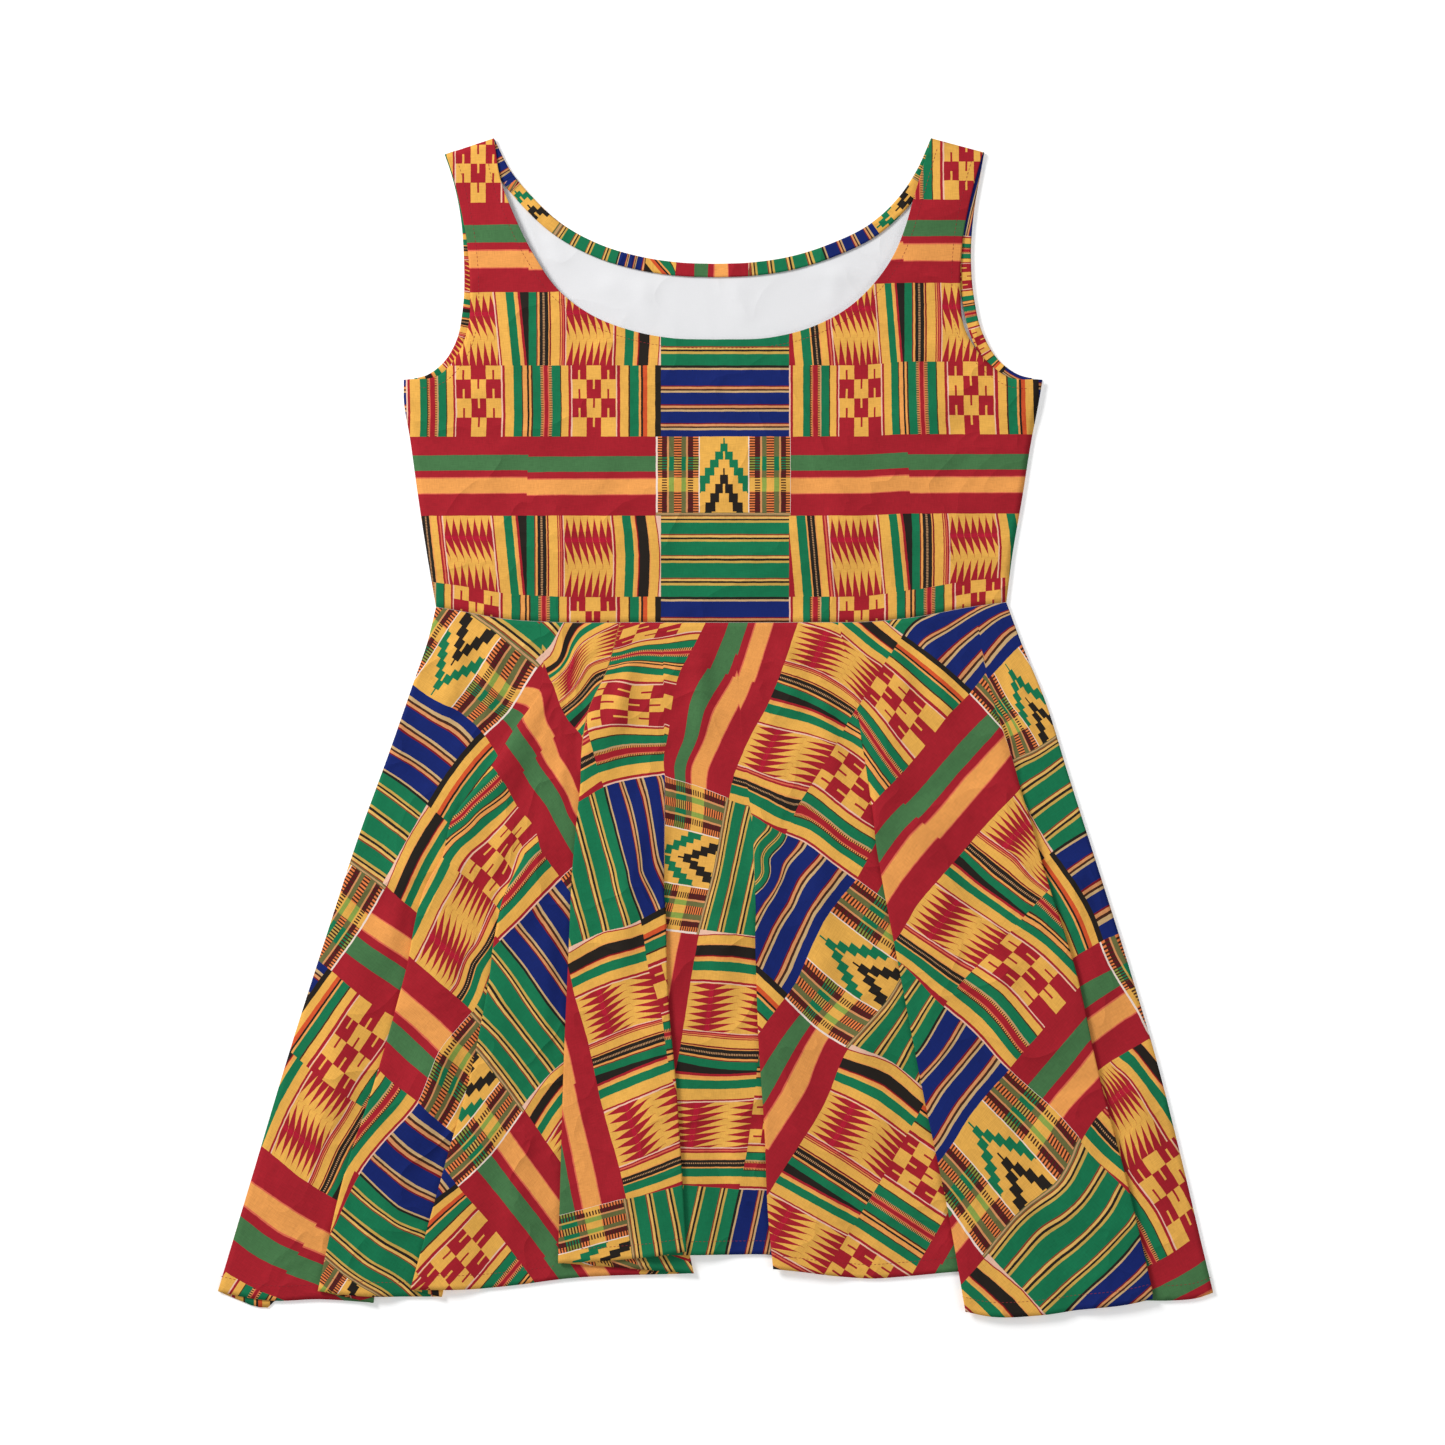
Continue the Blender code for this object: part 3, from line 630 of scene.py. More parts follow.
# %% Nets for the bodice and its bindings
BACK_MID = 0.5  # heights of the middle of the cloth above the floor
BAND_MID = FRONT_MID = 1.8
OVER_BAND = 1.3  # how far the front rises over a binding
BODICE_CROWN = 3.2
CROWN_RISE = 45  # how far above the waist the crown is whole
ARM_RISE_FROM, ARM_RISE = 45, 30  # from how far below the underarm the front rises, and over what length
SHOULDER_FROM, SHOULDER_EASE = 40, 45
UNDERARM_CENTRE = 243.0  # height on the centre line that the underarm's row starts from
SIDE_ROWS = 34
ARM_ROWS = 60
ROWS_TO_NECK = {"front": 12, "back": 22}
BODICE_COLUMNS = 44
EDGE_POINTS = 91
BAND_ROWS = 7
NECK_BAND_WIDTH = 10.0
ARM_BAND_WIDTH = 9.0
ARM_BAND_START = 0.04  # share of the armhole, from the underarm, where its binding starts to show


def flat(height):
    return lambda across, outer_y, y: np.full_like(across, height)


def crowned(across, outer_y, y):
    """The front bodice: high in the middle, down on the back at the side seams and the waist."""
    near_arm = smooth((outer_y - (SIDE_SEAM["left"][-1][1] - ARM_RISE_FROM)) / ARM_RISE)
    near_shoulder = smooth((y - (BACK_ARMHOLE["left"][-1][1] - SHOULDER_FROM)) / SHOULDER_EASE)
    highest = BODICE_CROWN + (OVER_BAND - BODICE_CROWN) * near_shoulder
    crown = smooth((y - WAIST[0][1]) / CROWN_RISE) * highest
    return FRONT_MID + crown * (1 - across**4) + OVER_BAND * near_arm * across**4


def bodice_half(side, neck, armhole, rows_to_neck, height, creases):
    """Rows from waist to shoulder, each from the centre line or the neck out to side seam or armhole."""
    waist_y = line_y(WAIST, 0)
    centre_y = np.concatenate([
        np.linspace(waist_y, UNDERARM_CENTRE, SIDE_ROWS + 1),
        np.linspace(UNDERARM_CENTRE, neck[side][0][1], rows_to_neck + 1)[1:],
    ])
    centre = np.column_stack([np.zeros_like(centre_y), centre_y])
    neck_shares = np.linspace(0, 1, ARM_ROWS - rows_to_neck + 1)[1:]
    inner = np.vstack([centre, smooth_line(neck[side], neck_shares)])
    outer = np.vstack([
        smooth_line(SIDE_SEAM[side], np.linspace(0, 1, SIDE_ROWS + 1)),
        smooth_line(armhole[side], np.linspace(0, 1, ARM_ROWS + 1)[1:]),
    ])
    across = np.linspace(0, 1, BODICE_COLUMNS + 1)
    rows = []
    for index, (start, end) in enumerate(zip(inner, outer)):
        x = start[0] + (end[0] - start[0]) * across
        straight = start[1] + (end[1] - start[1]) * across
        sag = line_y(WAIST, x) - (waist_y + (line_y(WAIST, outer[0][0]) - waist_y) * across)
        y = straight + sag * (1 - smooth(index / SIDE_ROWS))
        free = (1 - across**4) * smooth((y - WAIST[0][1]) / CROWN_RISE)
        z = height(across, end[1], y) + crease_height(creases, x, y) * free
        rows.append(np.column_stack([x, y, z]))
    return np.array(rows)


def band_net(edge, width, turn):
    """A strip on the inside of the back, from its cut edge inwards.

    turn is 1 where the cloth is to the left of the edge as it runs, and -1 where it is to the right.
    """
    along = np.gradient(edge, axis=0)
    along /= np.linalg.norm(along, axis=1)[:, None]
    inwards = turn * np.column_stack([-along[:, 1], along[:, 0]])
    rows = [edge + inwards * width * share for share in np.linspace(0, 1, BAND_ROWS)]
    return np.array([np.column_stack([row, np.full(len(row), BAND_MID)]) for row in rows])


def neck_edge():
    """The whole edge of the back neck, from the left shoulder to the right."""
    left = smooth_line(BACK_NECK["left"], np.linspace(1, 0, EDGE_POINTS))
    right = smooth_line(BACK_NECK["right"], np.linspace(0, 1, EDGE_POINTS))
    return np.vstack([left, right[1:]])


BODICE_NETS = {}
for panel, neck, armhole, height, creases in (
    ("front", FRONT_NECK, FRONT_ARMHOLE, crowned, BODICE_CREASES),
    ("back", BACK_NECK, BACK_ARMHOLE, flat(BACK_MID), BACK_CREASES),
):
    left, right = [bodice_half(side, neck, armhole, ROWS_TO_NECK[panel], height, creases)
                   for side in ("left", "right")]
    BODICE_NETS[panel] = [left[:, ::-1], right]
print("bodice nets", BODICE_NETS["front"][0].shape)


# %% [markdown]
# ## Folds of the skirt
#
# Below the waist the spare cloth first stands as a soft ridge, then the ridge falls over and closes into
# a fold of three layers. One section across the whole skirt is worked out for each row, at a share of
# the way from waist to hem, and every row has the same columns, so the layers of a fold follow each
# other all the way down and never cross.

# %% Folds and hems
LAYER = 2.0  # from one layer of a fold to the next
ROLL = LAYER / 2
RIDGE_WIDTH = 13.0
EASE = 34.0  # over this width the cloth comes down beside a fold
CLOSING = 0.12  # share of the skirt's length over which a ridge falls shut
CLEAR = 2.0
SEAM_GAP = 0.3
ROLL_STEPS = 8
COLUMN_WIDTH = 4.6
SKIRT_ROWS = 140
BACK_ROWS, BACK_COLUMNS = 110, 120
LEAST_COLUMNS = 12  # in a stretch
CREASE_ROOM = 14  # the creases die out over this width beside a fold
CREASES_FROM = 0.05  # share of the skirt's length where they are whole
HEM_WIDTH = 9.0  # the turned hem
Fold = namedtuple("Fold", "over start close depth inner_hem under line")
FOLDS = (
    Fold("right", 0.08, 0.20, 39, -431.0, 0,
         ((-131.5, 79.5), (-131.5, 28), (-150.5, -0.5), (-169, -30.5), (-197.5, -71), (-203, -95.5),
          (-214, -114.5), (-231.5, -185.5), (-251.5, -257), (-278, -339.5), (-296.5, -422))),
    Fold("right", 0.28, 0.38, 21, -426.5, 0,
         ((-103, 79), (-113, 28), (-130, -39), (-142, -92), (-158.5, -126), (-169, -193),
          (-182.5, -260.5), (-201.5, -328), (-227.5, -422))),
    Fold("right", 0.05, 0.18, 99, -409.0, 0,
         ((-71.5, 79), (-83, 39.5), (-94, 17), (-99.5, -9.5), (-101.5, -54.5), (-106, -107),
          (-109, -174.5), (-112, -242), (-114.5, -324.5), (-116.5, -398))),
    Fold("left", 0.24, 0.36, 17, -395.0, 2,
         ((-39.5, 79), (-38.5, -0.5), (-38, -39.5), (-38.5, -129.5), (-36.5, -204.5),
          (-31, -264.5), (-26.5, -332), (-23, -392))),
    Fold("right", 0.26, 0.38, 26, -401.0, 0,
         ((14.5, 79), (20, -9.5), (27.5, -77), (31, -159.5), (33.5, -234.5),
          (38, -302), (41, -369.5), (44.5, -405.5))),
    Fold("right", 0.10, 0.21, 58, -408.0, 0,
         ((92, 79), (103, 28), (110, -13), (123.5, -99.5), (140.5, -189.5),
          (158, -279.5), (176, -365.5), (188.5, -437.5))),
    Fold("left", 0.09, 0.20, 36, -428.0, 0,
         ((194.5, 90), (206, 28), (222.5, -24.5), (245, -107), (267.5, -178),
          (286, -260.5), (309.5, -350.5), (326, -422))),
)
HEMS = (
    ((-373, -422.5), (-353, -427), (-334, -429.5), (-296.5, -428.5)),
    ((-296.5, -422), (-274, -425), (-227.5, -426.5)),
    ((-227.5, -421), (-176.5, -420.5), (-146.5, -417.5), (-116.5, -413.5)),
    ((-116.5, -401), (-86.5, -399.5), (-56.5, -397), (-23, -392)),
    ((-23, -395), (11, -395), (42.5, -395.5)),
    ((44.5, -405.5), (63.5, -407.5), (93.5, -411.5), (116, -413), (138.5, -411.5), (183.5, -407.5)),
    ((188.5, -437.5), (202, -440.5), (243.5, -440), (273.5, -436), (311, -431.5), (326, -428)),
    ((326, -429.5), (341, -429.5), (363.5, -427), (373, -423.5)),
)
DEEP_FOLD = 2  # the fold that reaches under its neighbour
RAISED = (0.4, 0.68)  # shares of the length between which its neighbour climbs over it


def below_seam(table):
    """A waist line moved down by the gap at the seam."""
    return tuple((x, y - SEAM_GAP) for x, y in table)


def fold_columns(fold, share, edge_hem):
    """(x, z, y at the hem) across one fold, from left to right, at a share of the skirt's length."""
    top = line_y(WAIST, fold.line[0][0])
    edge = line_x(fold.line, top + (edge_hem - top) * share)
    rise = smooth((share - fold.start) / (fold.close - fold.start))
    shut = smooth((share - fold.close) / CLOSING)
    depth = fold.depth * max(0.0, (share - fold.close) / (1 - fold.close))
    turn = np.radians(np.linspace(-90, 90, ROLL_STEPS + 1))
    folded_x = np.concatenate([depth + ROLL * np.cos(turn), -ROLL * np.cos(turn)])
    folded_z = np.concatenate([ROLL + ROLL * np.sin(turn), LAYER + ROLL + ROLL * np.sin(turn)])
    along = np.linspace(0, 1, len(folded_x))
    ridge_x = RIDGE_WIDTH * (along - 0.5)
    x = ridge_x + (folded_x - ridge_x) * shut
    ridge_z = 2 * LAYER * smooth(along)
    climb = smooth((share - RAISED[0]) / (RAISED[1] - RAISED[0]))
    z = (ridge_z + (folded_z - ridge_z) * shut) * rise + fold.under * LAYER * climb
    hem = np.where(along < 0.5, fold.inner_hem, edge_hem)
    reach = (depth + ROLL) * shut + RIDGE_WIDTH / 2 * (1 - shut) + CLEAR
    near = ROLL * shut + RIDGE_WIDTH / 2 * (1 - shut) + CLEAR
    if fold.over == "right":
        return edge + x, z, hem, edge - near, edge + reach
    return edge - x[::-1], z[::-1], hem[::-1], edge - reach, edge + near


def goes_under(index):
    """Whether a stretch goes under the fold at its left, and under the one at its right."""
    left = index > 0 and FOLDS[index - 1].over == "left"
    right = index < len(FOLDS) and FOLDS[index].over == "right"
    return left, right


def stretch_heights(index, x, left_level, right_level, free_from, free_to):
    """The cloth between two folds keeps each fold's height where it hides layers, and lies low between."""
    left, right = goes_under(index)
    down_room = (free_to if right else x[-1]) - free_from
    up_room = free_to - (free_from if left else x[0])
    down = smooth((x - free_from) / max(CLEAR, min(EASE, down_room)))
    up = smooth((x - free_to) / max(CLEAR, min(EASE, up_room)) + 1)
    return np.maximum(left_level * (1 - down), right_level * up)


def stretch_hem(index, x):
    """Height of the hem below each column, also where a fold hides it."""
    ends = list(HEMS[index])
    left, right = goes_under(index)
    if left:
        ends.insert(0, (ends[0][0] - FOLDS[index - 1].depth, FOLDS[index - 1].inner_hem))
    if right:
        ends.append((ends[-1][0] + FOLDS[index].depth, FOLDS[index].inner_hem))
    width = ends[-1][0] - ends[0][0]
    across = (x - x[0]) / (x[-1] - x[0])
    return line_y(ends, ends[0][0] + across * width)


def stretch_width(index):
    """Width of a stretch at the hem, with what its folds hide."""
    left, right = goes_under(index)
    hidden = (FOLDS[index - 1].depth if left else 0.0) + (FOLDS[index].depth if right else 0.0)
    return HEMS[index][-1][0] - HEMS[index][0][0] + hidden


def skirt_section(share):
    """(x, z, y at the hem, stretch, room for creases) of every column, from the left seam to the right."""
    edge_hems = [HEMS[index + (fold.over == "right")][0 if fold.over == "right" else -1][1]
                 for index, fold in enumerate(FOLDS)]
    folds = [fold_columns(fold, share, hem) for fold, hem in zip(FOLDS, edge_hems)]
    top = {side: SKIRT_EDGE[side][0][1] for side in SKIRT_EDGE}
    hem_y = {"left": HEMS[0][0][1], "right": HEMS[-1][-1][1]}
    sides = {side: line_x(SKIRT_EDGE[side], top[side] + (hem_y[side] - top[side]) * share)
             for side in top}
    columns = []
    for index in range(len(HEMS)):
        start, end = (sides["left"], 0.0, sides["left"]), (sides["right"], 0.0, sides["right"])
        if index:
            start = (folds[index - 1][0][-1], folds[index - 1][1][-1], folds[index - 1][4])
        if index < len(FOLDS):
            end = (folds[index][0][0], folds[index][1][0], folds[index][3])
        over_deep = index == DEEP_FOLD + 2 and share > RAISED[0]
        free_from = max(start[2], folds[DEEP_FOLD][4]) if over_deep else start[2]
        count = max(LEAST_COLUMNS, round(stretch_width(index) / COLUMN_WIDTH))
        x = np.linspace(start[0], end[0], count + 1)
        z = stretch_heights(index, x, start[1], end[1], free_from, end[2])
        left, right = goes_under(index)
        room_from = start[2] if left else x[0]
        room_to = end[2] if right else x[-1]
        room = smooth((x - room_from) / CREASE_ROOM) * smooth((room_to - x) / CREASE_ROOM)
        stretch = np.column_stack([x, z, stretch_hem(index, x), np.full_like(x, index), room])
        columns.append(stretch[1 if index else 0:-1 if index < len(FOLDS) else None])
        if index < len(FOLDS):
            fold_x, fold_z, fold_hem = folds[index][:3]
            side = index + (np.arange(len(fold_x)) >= len(fold_x) / 2)
            columns.append(np.column_stack([fold_x, fold_z, fold_hem, side, np.zeros_like(fold_x)]))
    return np.vstack(columns).T


def skirt_front_net():
    """The net from waist to hem, and the stretch that each column belongs to."""
    top_y = line_y(below_seam(WAIST), skirt_section(0)[0])
    rows = []
    for share in np.linspace(0, 1, SKIRT_ROWS + 1):
        x, z, hem, stretch, room = skirt_section(share)
        y = top_y + (hem - top_y) * share
        lift = crease_height(SKIRT_CREASES, x, y) * room * smooth(share / CREASES_FROM)
        rows.append(np.column_stack([x, y, FRONT_MID + z + lift]))
    return np.array(rows), stretch.astype(int)


def skirt_back_net():
    """The back lies flat, in one piece."""
    across = np.linspace(0, 1, BACK_COLUMNS + 1)
    top_y = line_y(below_seam(WAIST), WAIST[0][0] + (WAIST[-1][0] - WAIST[0][0]) * across)
    hem_y = line_y(BACK_HEM, BACK_HEM[0][0] + (BACK_HEM[-1][0] - BACK_HEM[0][0]) * across)
    rows = []
    for share in np.linspace(0, 1, BACK_ROWS + 1):
        edges = [line_x(table, table[0][1] + (table[-1][1] - table[0][1]) * share)
                 for table in (SKIRT_EDGE["left"], SKIRT_EDGE["right"])]
        x = edges[0] + (edges[1] - edges[0]) * across
        rows.append(np.column_stack([x, top_y + (hem_y - top_y) * share, np.full_like(x, BACK_MID)]))
    return np.array(rows)


FRONT_NET, STRETCH = skirt_front_net()
BACK_NET = skirt_back_net()
print("skirt net", FRONT_NET.shape, "back", BACK_NET.shape)


# %% Print positions on the skirt
def skirt_print(net, stretch):
    """Every column takes its print from the marks of its own stretch."""
    spots = np.zeros((*net.shape[:2], 2))
    for index, plates in enumerate(PLATES):
        mine = stretch == index
        for axis, plate in enumerate(plates):
            spots[:, mine, axis] = plate(net[:, mine, :2]).reshape(len(net), -1) / REPEAT[axis]
    return spots


def strip_print(net, marks, ways):
    """Along a strip the print follows marks (share of its length, threads across, threads down).

    ways says how many threads across and down go by for each thread of the strip's width, which is
    counted as the neck binding's for every strip.
    """
    share = np.linspace(0, 1, net.shape[1])
    table = np.array(marks, float)
    width = np.arange(len(net))[:, None] / (len(net) - 1) * NECK_BAND_WIDTH / THREAD
    across = np.interp(share, table[:, 0], table[:, 1]) + ways[0] * width
    down = np.interp(share, table[:, 0], table[:, 2]) + ways[1] * width
    return np.stack([across / REPEAT[0], down / REPEAT[1]], axis=-1)


FRONT_PRINT = skirt_print(FRONT_NET, STRETCH)
print("print on the skirt", FRONT_PRINT.min(axis=(0, 1)).round(2), FRONT_PRINT.max(axis=(0, 1)).round(2))


# %% [markdown]
# ## The print, from a chart
#
# The cloth copies strip weaving: narrow strips sewn side by side, with blocks of stripes, combs, checks
# and a stepped arrow. A weaver plans such a strip on squared paper and counts threads, and the print is
# built the same way. Stripes are colour ramps with hard steps, one for each block, and the toothed and
# chequered places are sums on the thread counts. A little noise moves every line by a thread or so.

# %% Dyes
DYES = {
    "red": "A61F2B", "crimson": "B41A33", "dark red": "7E1420", "maroon": "5E1420", "salmon": "DD6A4E",
    "orange": "EDA054", "tangerine": "EE8347", "flame": "D5542C", "yellow": "EBB051", "straw": "E6B663",
    "khaki": "CDA650", "tan": "C79A6C", "peach": "D9935F", "beige": "CDAA78", "pink": "EFC0A8",
    "white": "F3DFD3", "green": "16754D", "band green": "477548", "lime": "8E9A42", "leaf": "8FA64C",
    "olive": "6B6B3F", "blue": "14256A", "black": "26201B", "dark": "47271B", "brick": "8C3A26",
}


def dye(name):
    """The linear colour of a dye, from its sRGB hex."""
    channels = [int(DYES[name][start:start + 2], 16) / 255 for start in (0, 2, 4)]
    return [value / 12.92 if value <= 0.04045 else ((value + 0.055) / 1.055) ** 2.4 for value in channels]


print("dyes", len(DYES))


# %% A short way to draw node trees
class Chart:
    """Draws a node tree. Values may be numbers or sockets, and each call gives back a socket."""

    def __init__(self, tree):
        self.tree = tree

    def add(self, kind, inputs=None, **settings):
        node = self.tree.nodes.new(kind)
        for name, value in settings.items():
            setattr(node, name, value)
        for key, value in (inputs or {}).items():
            if isinstance(value, bpy.types.NodeSocket):
                self.tree.links.new(value, node.inputs[key])
            else:
                node.inputs[key].default_value = value
        return node

    def math(self, operation, *values):
        return self.add("ShaderNodeMath", dict(enumerate(values)), operation=operation).outputs[0]

    def total(self, first, *others):
        for other in others:
            first = self.math("ADD", first, other)
        return first

    def between(self, value, low, high):
        above = self.math("GREATER_THAN", value, low)
        return self.math("MULTIPLY", above, self.math("LESS_THAN", value, high))

    def both(self, *masks):
        first = masks[0]
        for mask in masks[1:]:
            first = self.math("MULTIPLY", first, mask)
        return first

    def mix(self, share, first, second):
        colours = [(*dye(item), 1) if isinstance(item, str) else item for item in (first, second)]
        node = self.add("ShaderNodeMix", {0: share, 6: colours[0], 7: colours[1]}, data_type="RGBA")
        return node.outputs[2]

    def graph(self, value, length, points):
        """A broken line through (place, height) points."""
        node = self.add("ShaderNodeValToRGB", {0: self.math("DIVIDE", value, length)})
        elements = node.color_ramp.elements
        for index, (place, height) in enumerate(points):
            element = elements[index] if index < 2 else elements.new(place / length)
            element.position = place / length
            element.color = (height, height, height, 1)
        return node.outputs[0]

    def stripes(self, along, start, length, table, dash):
        """Stripes with hard edges from (place, dye) pairs. A dot after a dye's name makes it dashed."""
        share = self.math("DIVIDE", self.math("SUBTRACT", along, start), length)
        node = self.add("ShaderNodeValToRGB", {0: share})
        node.color_ramp.interpolation = "CONSTANT"
        elements = node.color_ramp.elements
        for index, (place, name) in enumerate(table):
            position = max(0.0, (place - start) / length)
            element = elements[index] if index < 2 else elements.new(position)
            element.position = position
            element.color = (*dye(name.rstrip(".")), 0.0 if name.endswith(".") else 1.0)
        dashed = self.math("MULTIPLY", self.math("SUBTRACT", 1.0, node.outputs[1]), dash)
        return self.mix(dashed, node.outputs[0], "dark")


def new_group(name, inputs, outputs):
    """A shader node group with its sockets, a chart to draw in it, and its input and output nodes."""
    tree = bpy.data.node_groups.new(name, "ShaderNodeTree")
    for label, kind in inputs:
        tree.interface.new_socket(label, in_out="INPUT", socket_type=kind)
    for label, kind in outputs:
        tree.interface.new_socket(label, in_out="OUTPUT", socket_type=kind)
    chart = Chart(tree)
    return tree, chart, chart.add("NodeGroupInput"), chart.add("NodeGroupOutput")


# %% Stripes, as (thread where it starts, dye)
BLOCK_B_END, MIDDLE_END, REPEAT_END = 134.0, 262.0, 385.0
BAND_ROW_END, SPIKE_ROW_END, CHECK_ROW_END = 79.0, 160.0, 231.0
BAND = (
    (0, "red"), (19, "band green"), (34.5, "red"), (41, "salmon"), (42, "orange"), (57, "salmon"),
    (58, "red"),
)
SPIKE_B = (
    (0, "green"), (7.5, "dark red"), (8.5, "orange"), (10.5, "black"), (14, "tan."), (15.8, "black"),
    (19.5, "orange"), (20.5, "dark red"), (22, "yellow"), (31, "red"), (32, "orange"), (33.5, "red"),
    (34.5, "salmon"), (35.5, "red"), (36.7, "pink"), (37.8, "yellow"), (86.3, "pink"), (87.4, "red"),
    (89.5, "yellow"), (98, "green"), (107, "yellow"), (108.5, "orange"), (111, "flame"),
    (112, "dark red"), (113, "black"), (123, "orange"), (124, "yellow"), (132.4, "red"), (133.2, "pink"),
)
SPIKE_A = (
    (262, "red"), (264, "yellow"), (272.5, "green"), (281.5, "orange"), (283, "black"), (286.2, "tan."),
    (287.9, "black"), (290.5, "orange"), (292, "yellow"), (298.5, "red"), (300, "salmon"), (301.5, "red"),
    (303.2, "pink"), (304.3, "yellow"), (352.3, "pink"), (353.4, "red"), (355, "yellow"), (365, "green"),
    (373, "yellow"), (374.5, "orange"), (377, "red"), (379.5, "black"),
)
CHECK_B = (
    (0, "orange"), (2, "dark"), (3.5, "green"), (11, "tan."), (12.5, "orange."), (14, "salmon"),
    (15, "red"), (18.5, "salmon"), (19.5, "orange."), (21.5, "tan."), (23, "green"), (31, "dark"),
    (32, "yellow"), (39.5, "red"), (42, "pink"), (43.5, "yellow"), (88.5, "pink"), (90, "red"),
    (93, "yellow"), (101.5, "dark"), (103, "green"), (111.5, "orange"), (114, "black"), (116, "flame"),
    (120, "yellow"), (128, "black"),
)
CHECK_A = (
    (262, "pink"), (263.2, "red"), (265.5, "yellow"), (275.5, "green"), (282.5, "dark"),
    (283.5, "orange."), (285, "salmon"), (286, "red"), (290.5, "orange."), (292.5, "tan"), (294, "green"),
    (301.5, "dark"), (302.5, "yellow"), (309, "red"), (311, "pink"), (312, "yellow"), (357, "pink"),
    (358.5, "red"), (360.5, "yellow"), (369.5, "green"), (377.5, "dark"), (378.5, "orange"),
    (383, "black"),
)
GREENS = (
    (79, "brick"), (79.8, "straw"), (82, "black"), (83.7, "khaki"), (85.7, "green"), (97.3, "brick"),
    (98.5, "straw"), (100.7, "black"), (102.6, "khaki"), (104.8, "green"), (118.3, "brick"),
    (119.5, "straw"), (121.7, "black"), (123.7, "khaki"), (126, "green"), (140.8, "brick"),
    (142, "straw"), (144, "black"), (146, "khaki"), (148.3, "green"),
)
BLUES = (
    (160, "black"), (162.3, "beige"), (164.2, "blue"), (180, "dark red"), (181.2, "peach"),
    (183.3, "dark"), (185, "beige"), (187, "blue"), (198.8, "dark red"), (200, "peach"), (202.2, "dark"),
    (203.9, "beige"), (206, "blue"), (217.2, "dark red"), (218.4, "peach"), (220.5, "dark"),
    (222.3, "beige"), (224.4, "blue"),
)
# The comb's columns beside the arrow, outwards from the arrow's axis
COMB_KINDS = (
    (0, "field"), (24, "edge"), (25.2, "outer comb"), (30.6, "inner comb"), (36, "light"), (37.8, "side"),
    (42.5, "zigzag"), (49.9, "side"), (54.9, "light"), (56.7, "inner comb"), (61.8, "outer comb"),
    (66, "edge"),
)
COMB_DYES = {
    "orange rows": {
        "outer comb": "tangerine.", "inner comb": "maroon.", "light": "peach", "side": "olive",
        "zigzag": "tangerine.",
    },
    "green rows": {
        "outer comb": "lime.", "inner comb": "green.", "light": "khaki", "side": "green",
        "zigzag": "khaki.",
    },
    "yellow rows": {
        "outer comb": "yellow", "inner comb": "yellow.", "light": "yellow", "side": "leaf",
        "zigzag": "yellow",
    },
}
COMB_ALWAYS = {"field": "yellow", "edge": "white"}
print("stripes in the tables", sum(map(len, (BAND, SPIKE_B, SPIKE_A, CHECK_B, CHECK_A, GREENS, BLUES))))


# %% The chequered and toothed blocks
SPIKE_ROW = SPIKE_ROW_END - BAND_ROW_END
TOOTH_PITCH, TEETH_WIDTH = 7.0, 48.0
TEETH_CORE = (22.0, 26.5)  # where the teeth are crimson, down the block
# How much of its pitch a tooth fills, down the block
TOOTH_FILL = ((0, 0), (3, 0.04), (22, 0.98), (27, 0.98), (49, 0.05), (55, 0.02), (81, 0.97))
SQUARE_WIDTH, SQUARE_HEIGHT = 15.0, 19.0
SQUARES_HIDDEN = 5.0  # the first row of squares starts this far under the block above
SLIT = 0.065  # half the width of a slit, as a share of a square


def toothed(chart, across, down, start, colour, lean):
    """Red teeth on yellow: two rows, which grow and shrink down the block."""
    b = chart.math("SUBTRACT", down, BAND_ROW_END)
    share = chart.graph(b, SPIKE_ROW, TOOTH_FILL)
    slant = chart.graph(b, SPIKE_ROW, ((0, 0), (24, 0), (50, 1), (53, 1), (54, 0.5), (81, 0.5 - lean)))
    shift = chart.math("MULTIPLY", slant, TOOTH_PITCH)
    shifted = chart.math("SUBTRACT", chart.math("SUBTRACT", across, start), shift)
    above_zero = chart.math("ADD", shifted, 100 * TOOTH_PITCH)
    phase = chart.math("FRACT", chart.math("DIVIDE", above_zero, TOOTH_PITCH))
    off = chart.math("ABSOLUTE", chart.math("SUBTRACT", phase, 0.5))
    tooth = chart.math("LESS_THAN", off, chart.math("MULTIPLY", share, 0.5))
    inside = chart.both(chart.between(across, start, start + TEETH_WIDTH), tooth)
    core = chart.between(b, *TEETH_CORE)
    return chart.mix(inside, colour, chart.mix(core, "red", "crimson"))


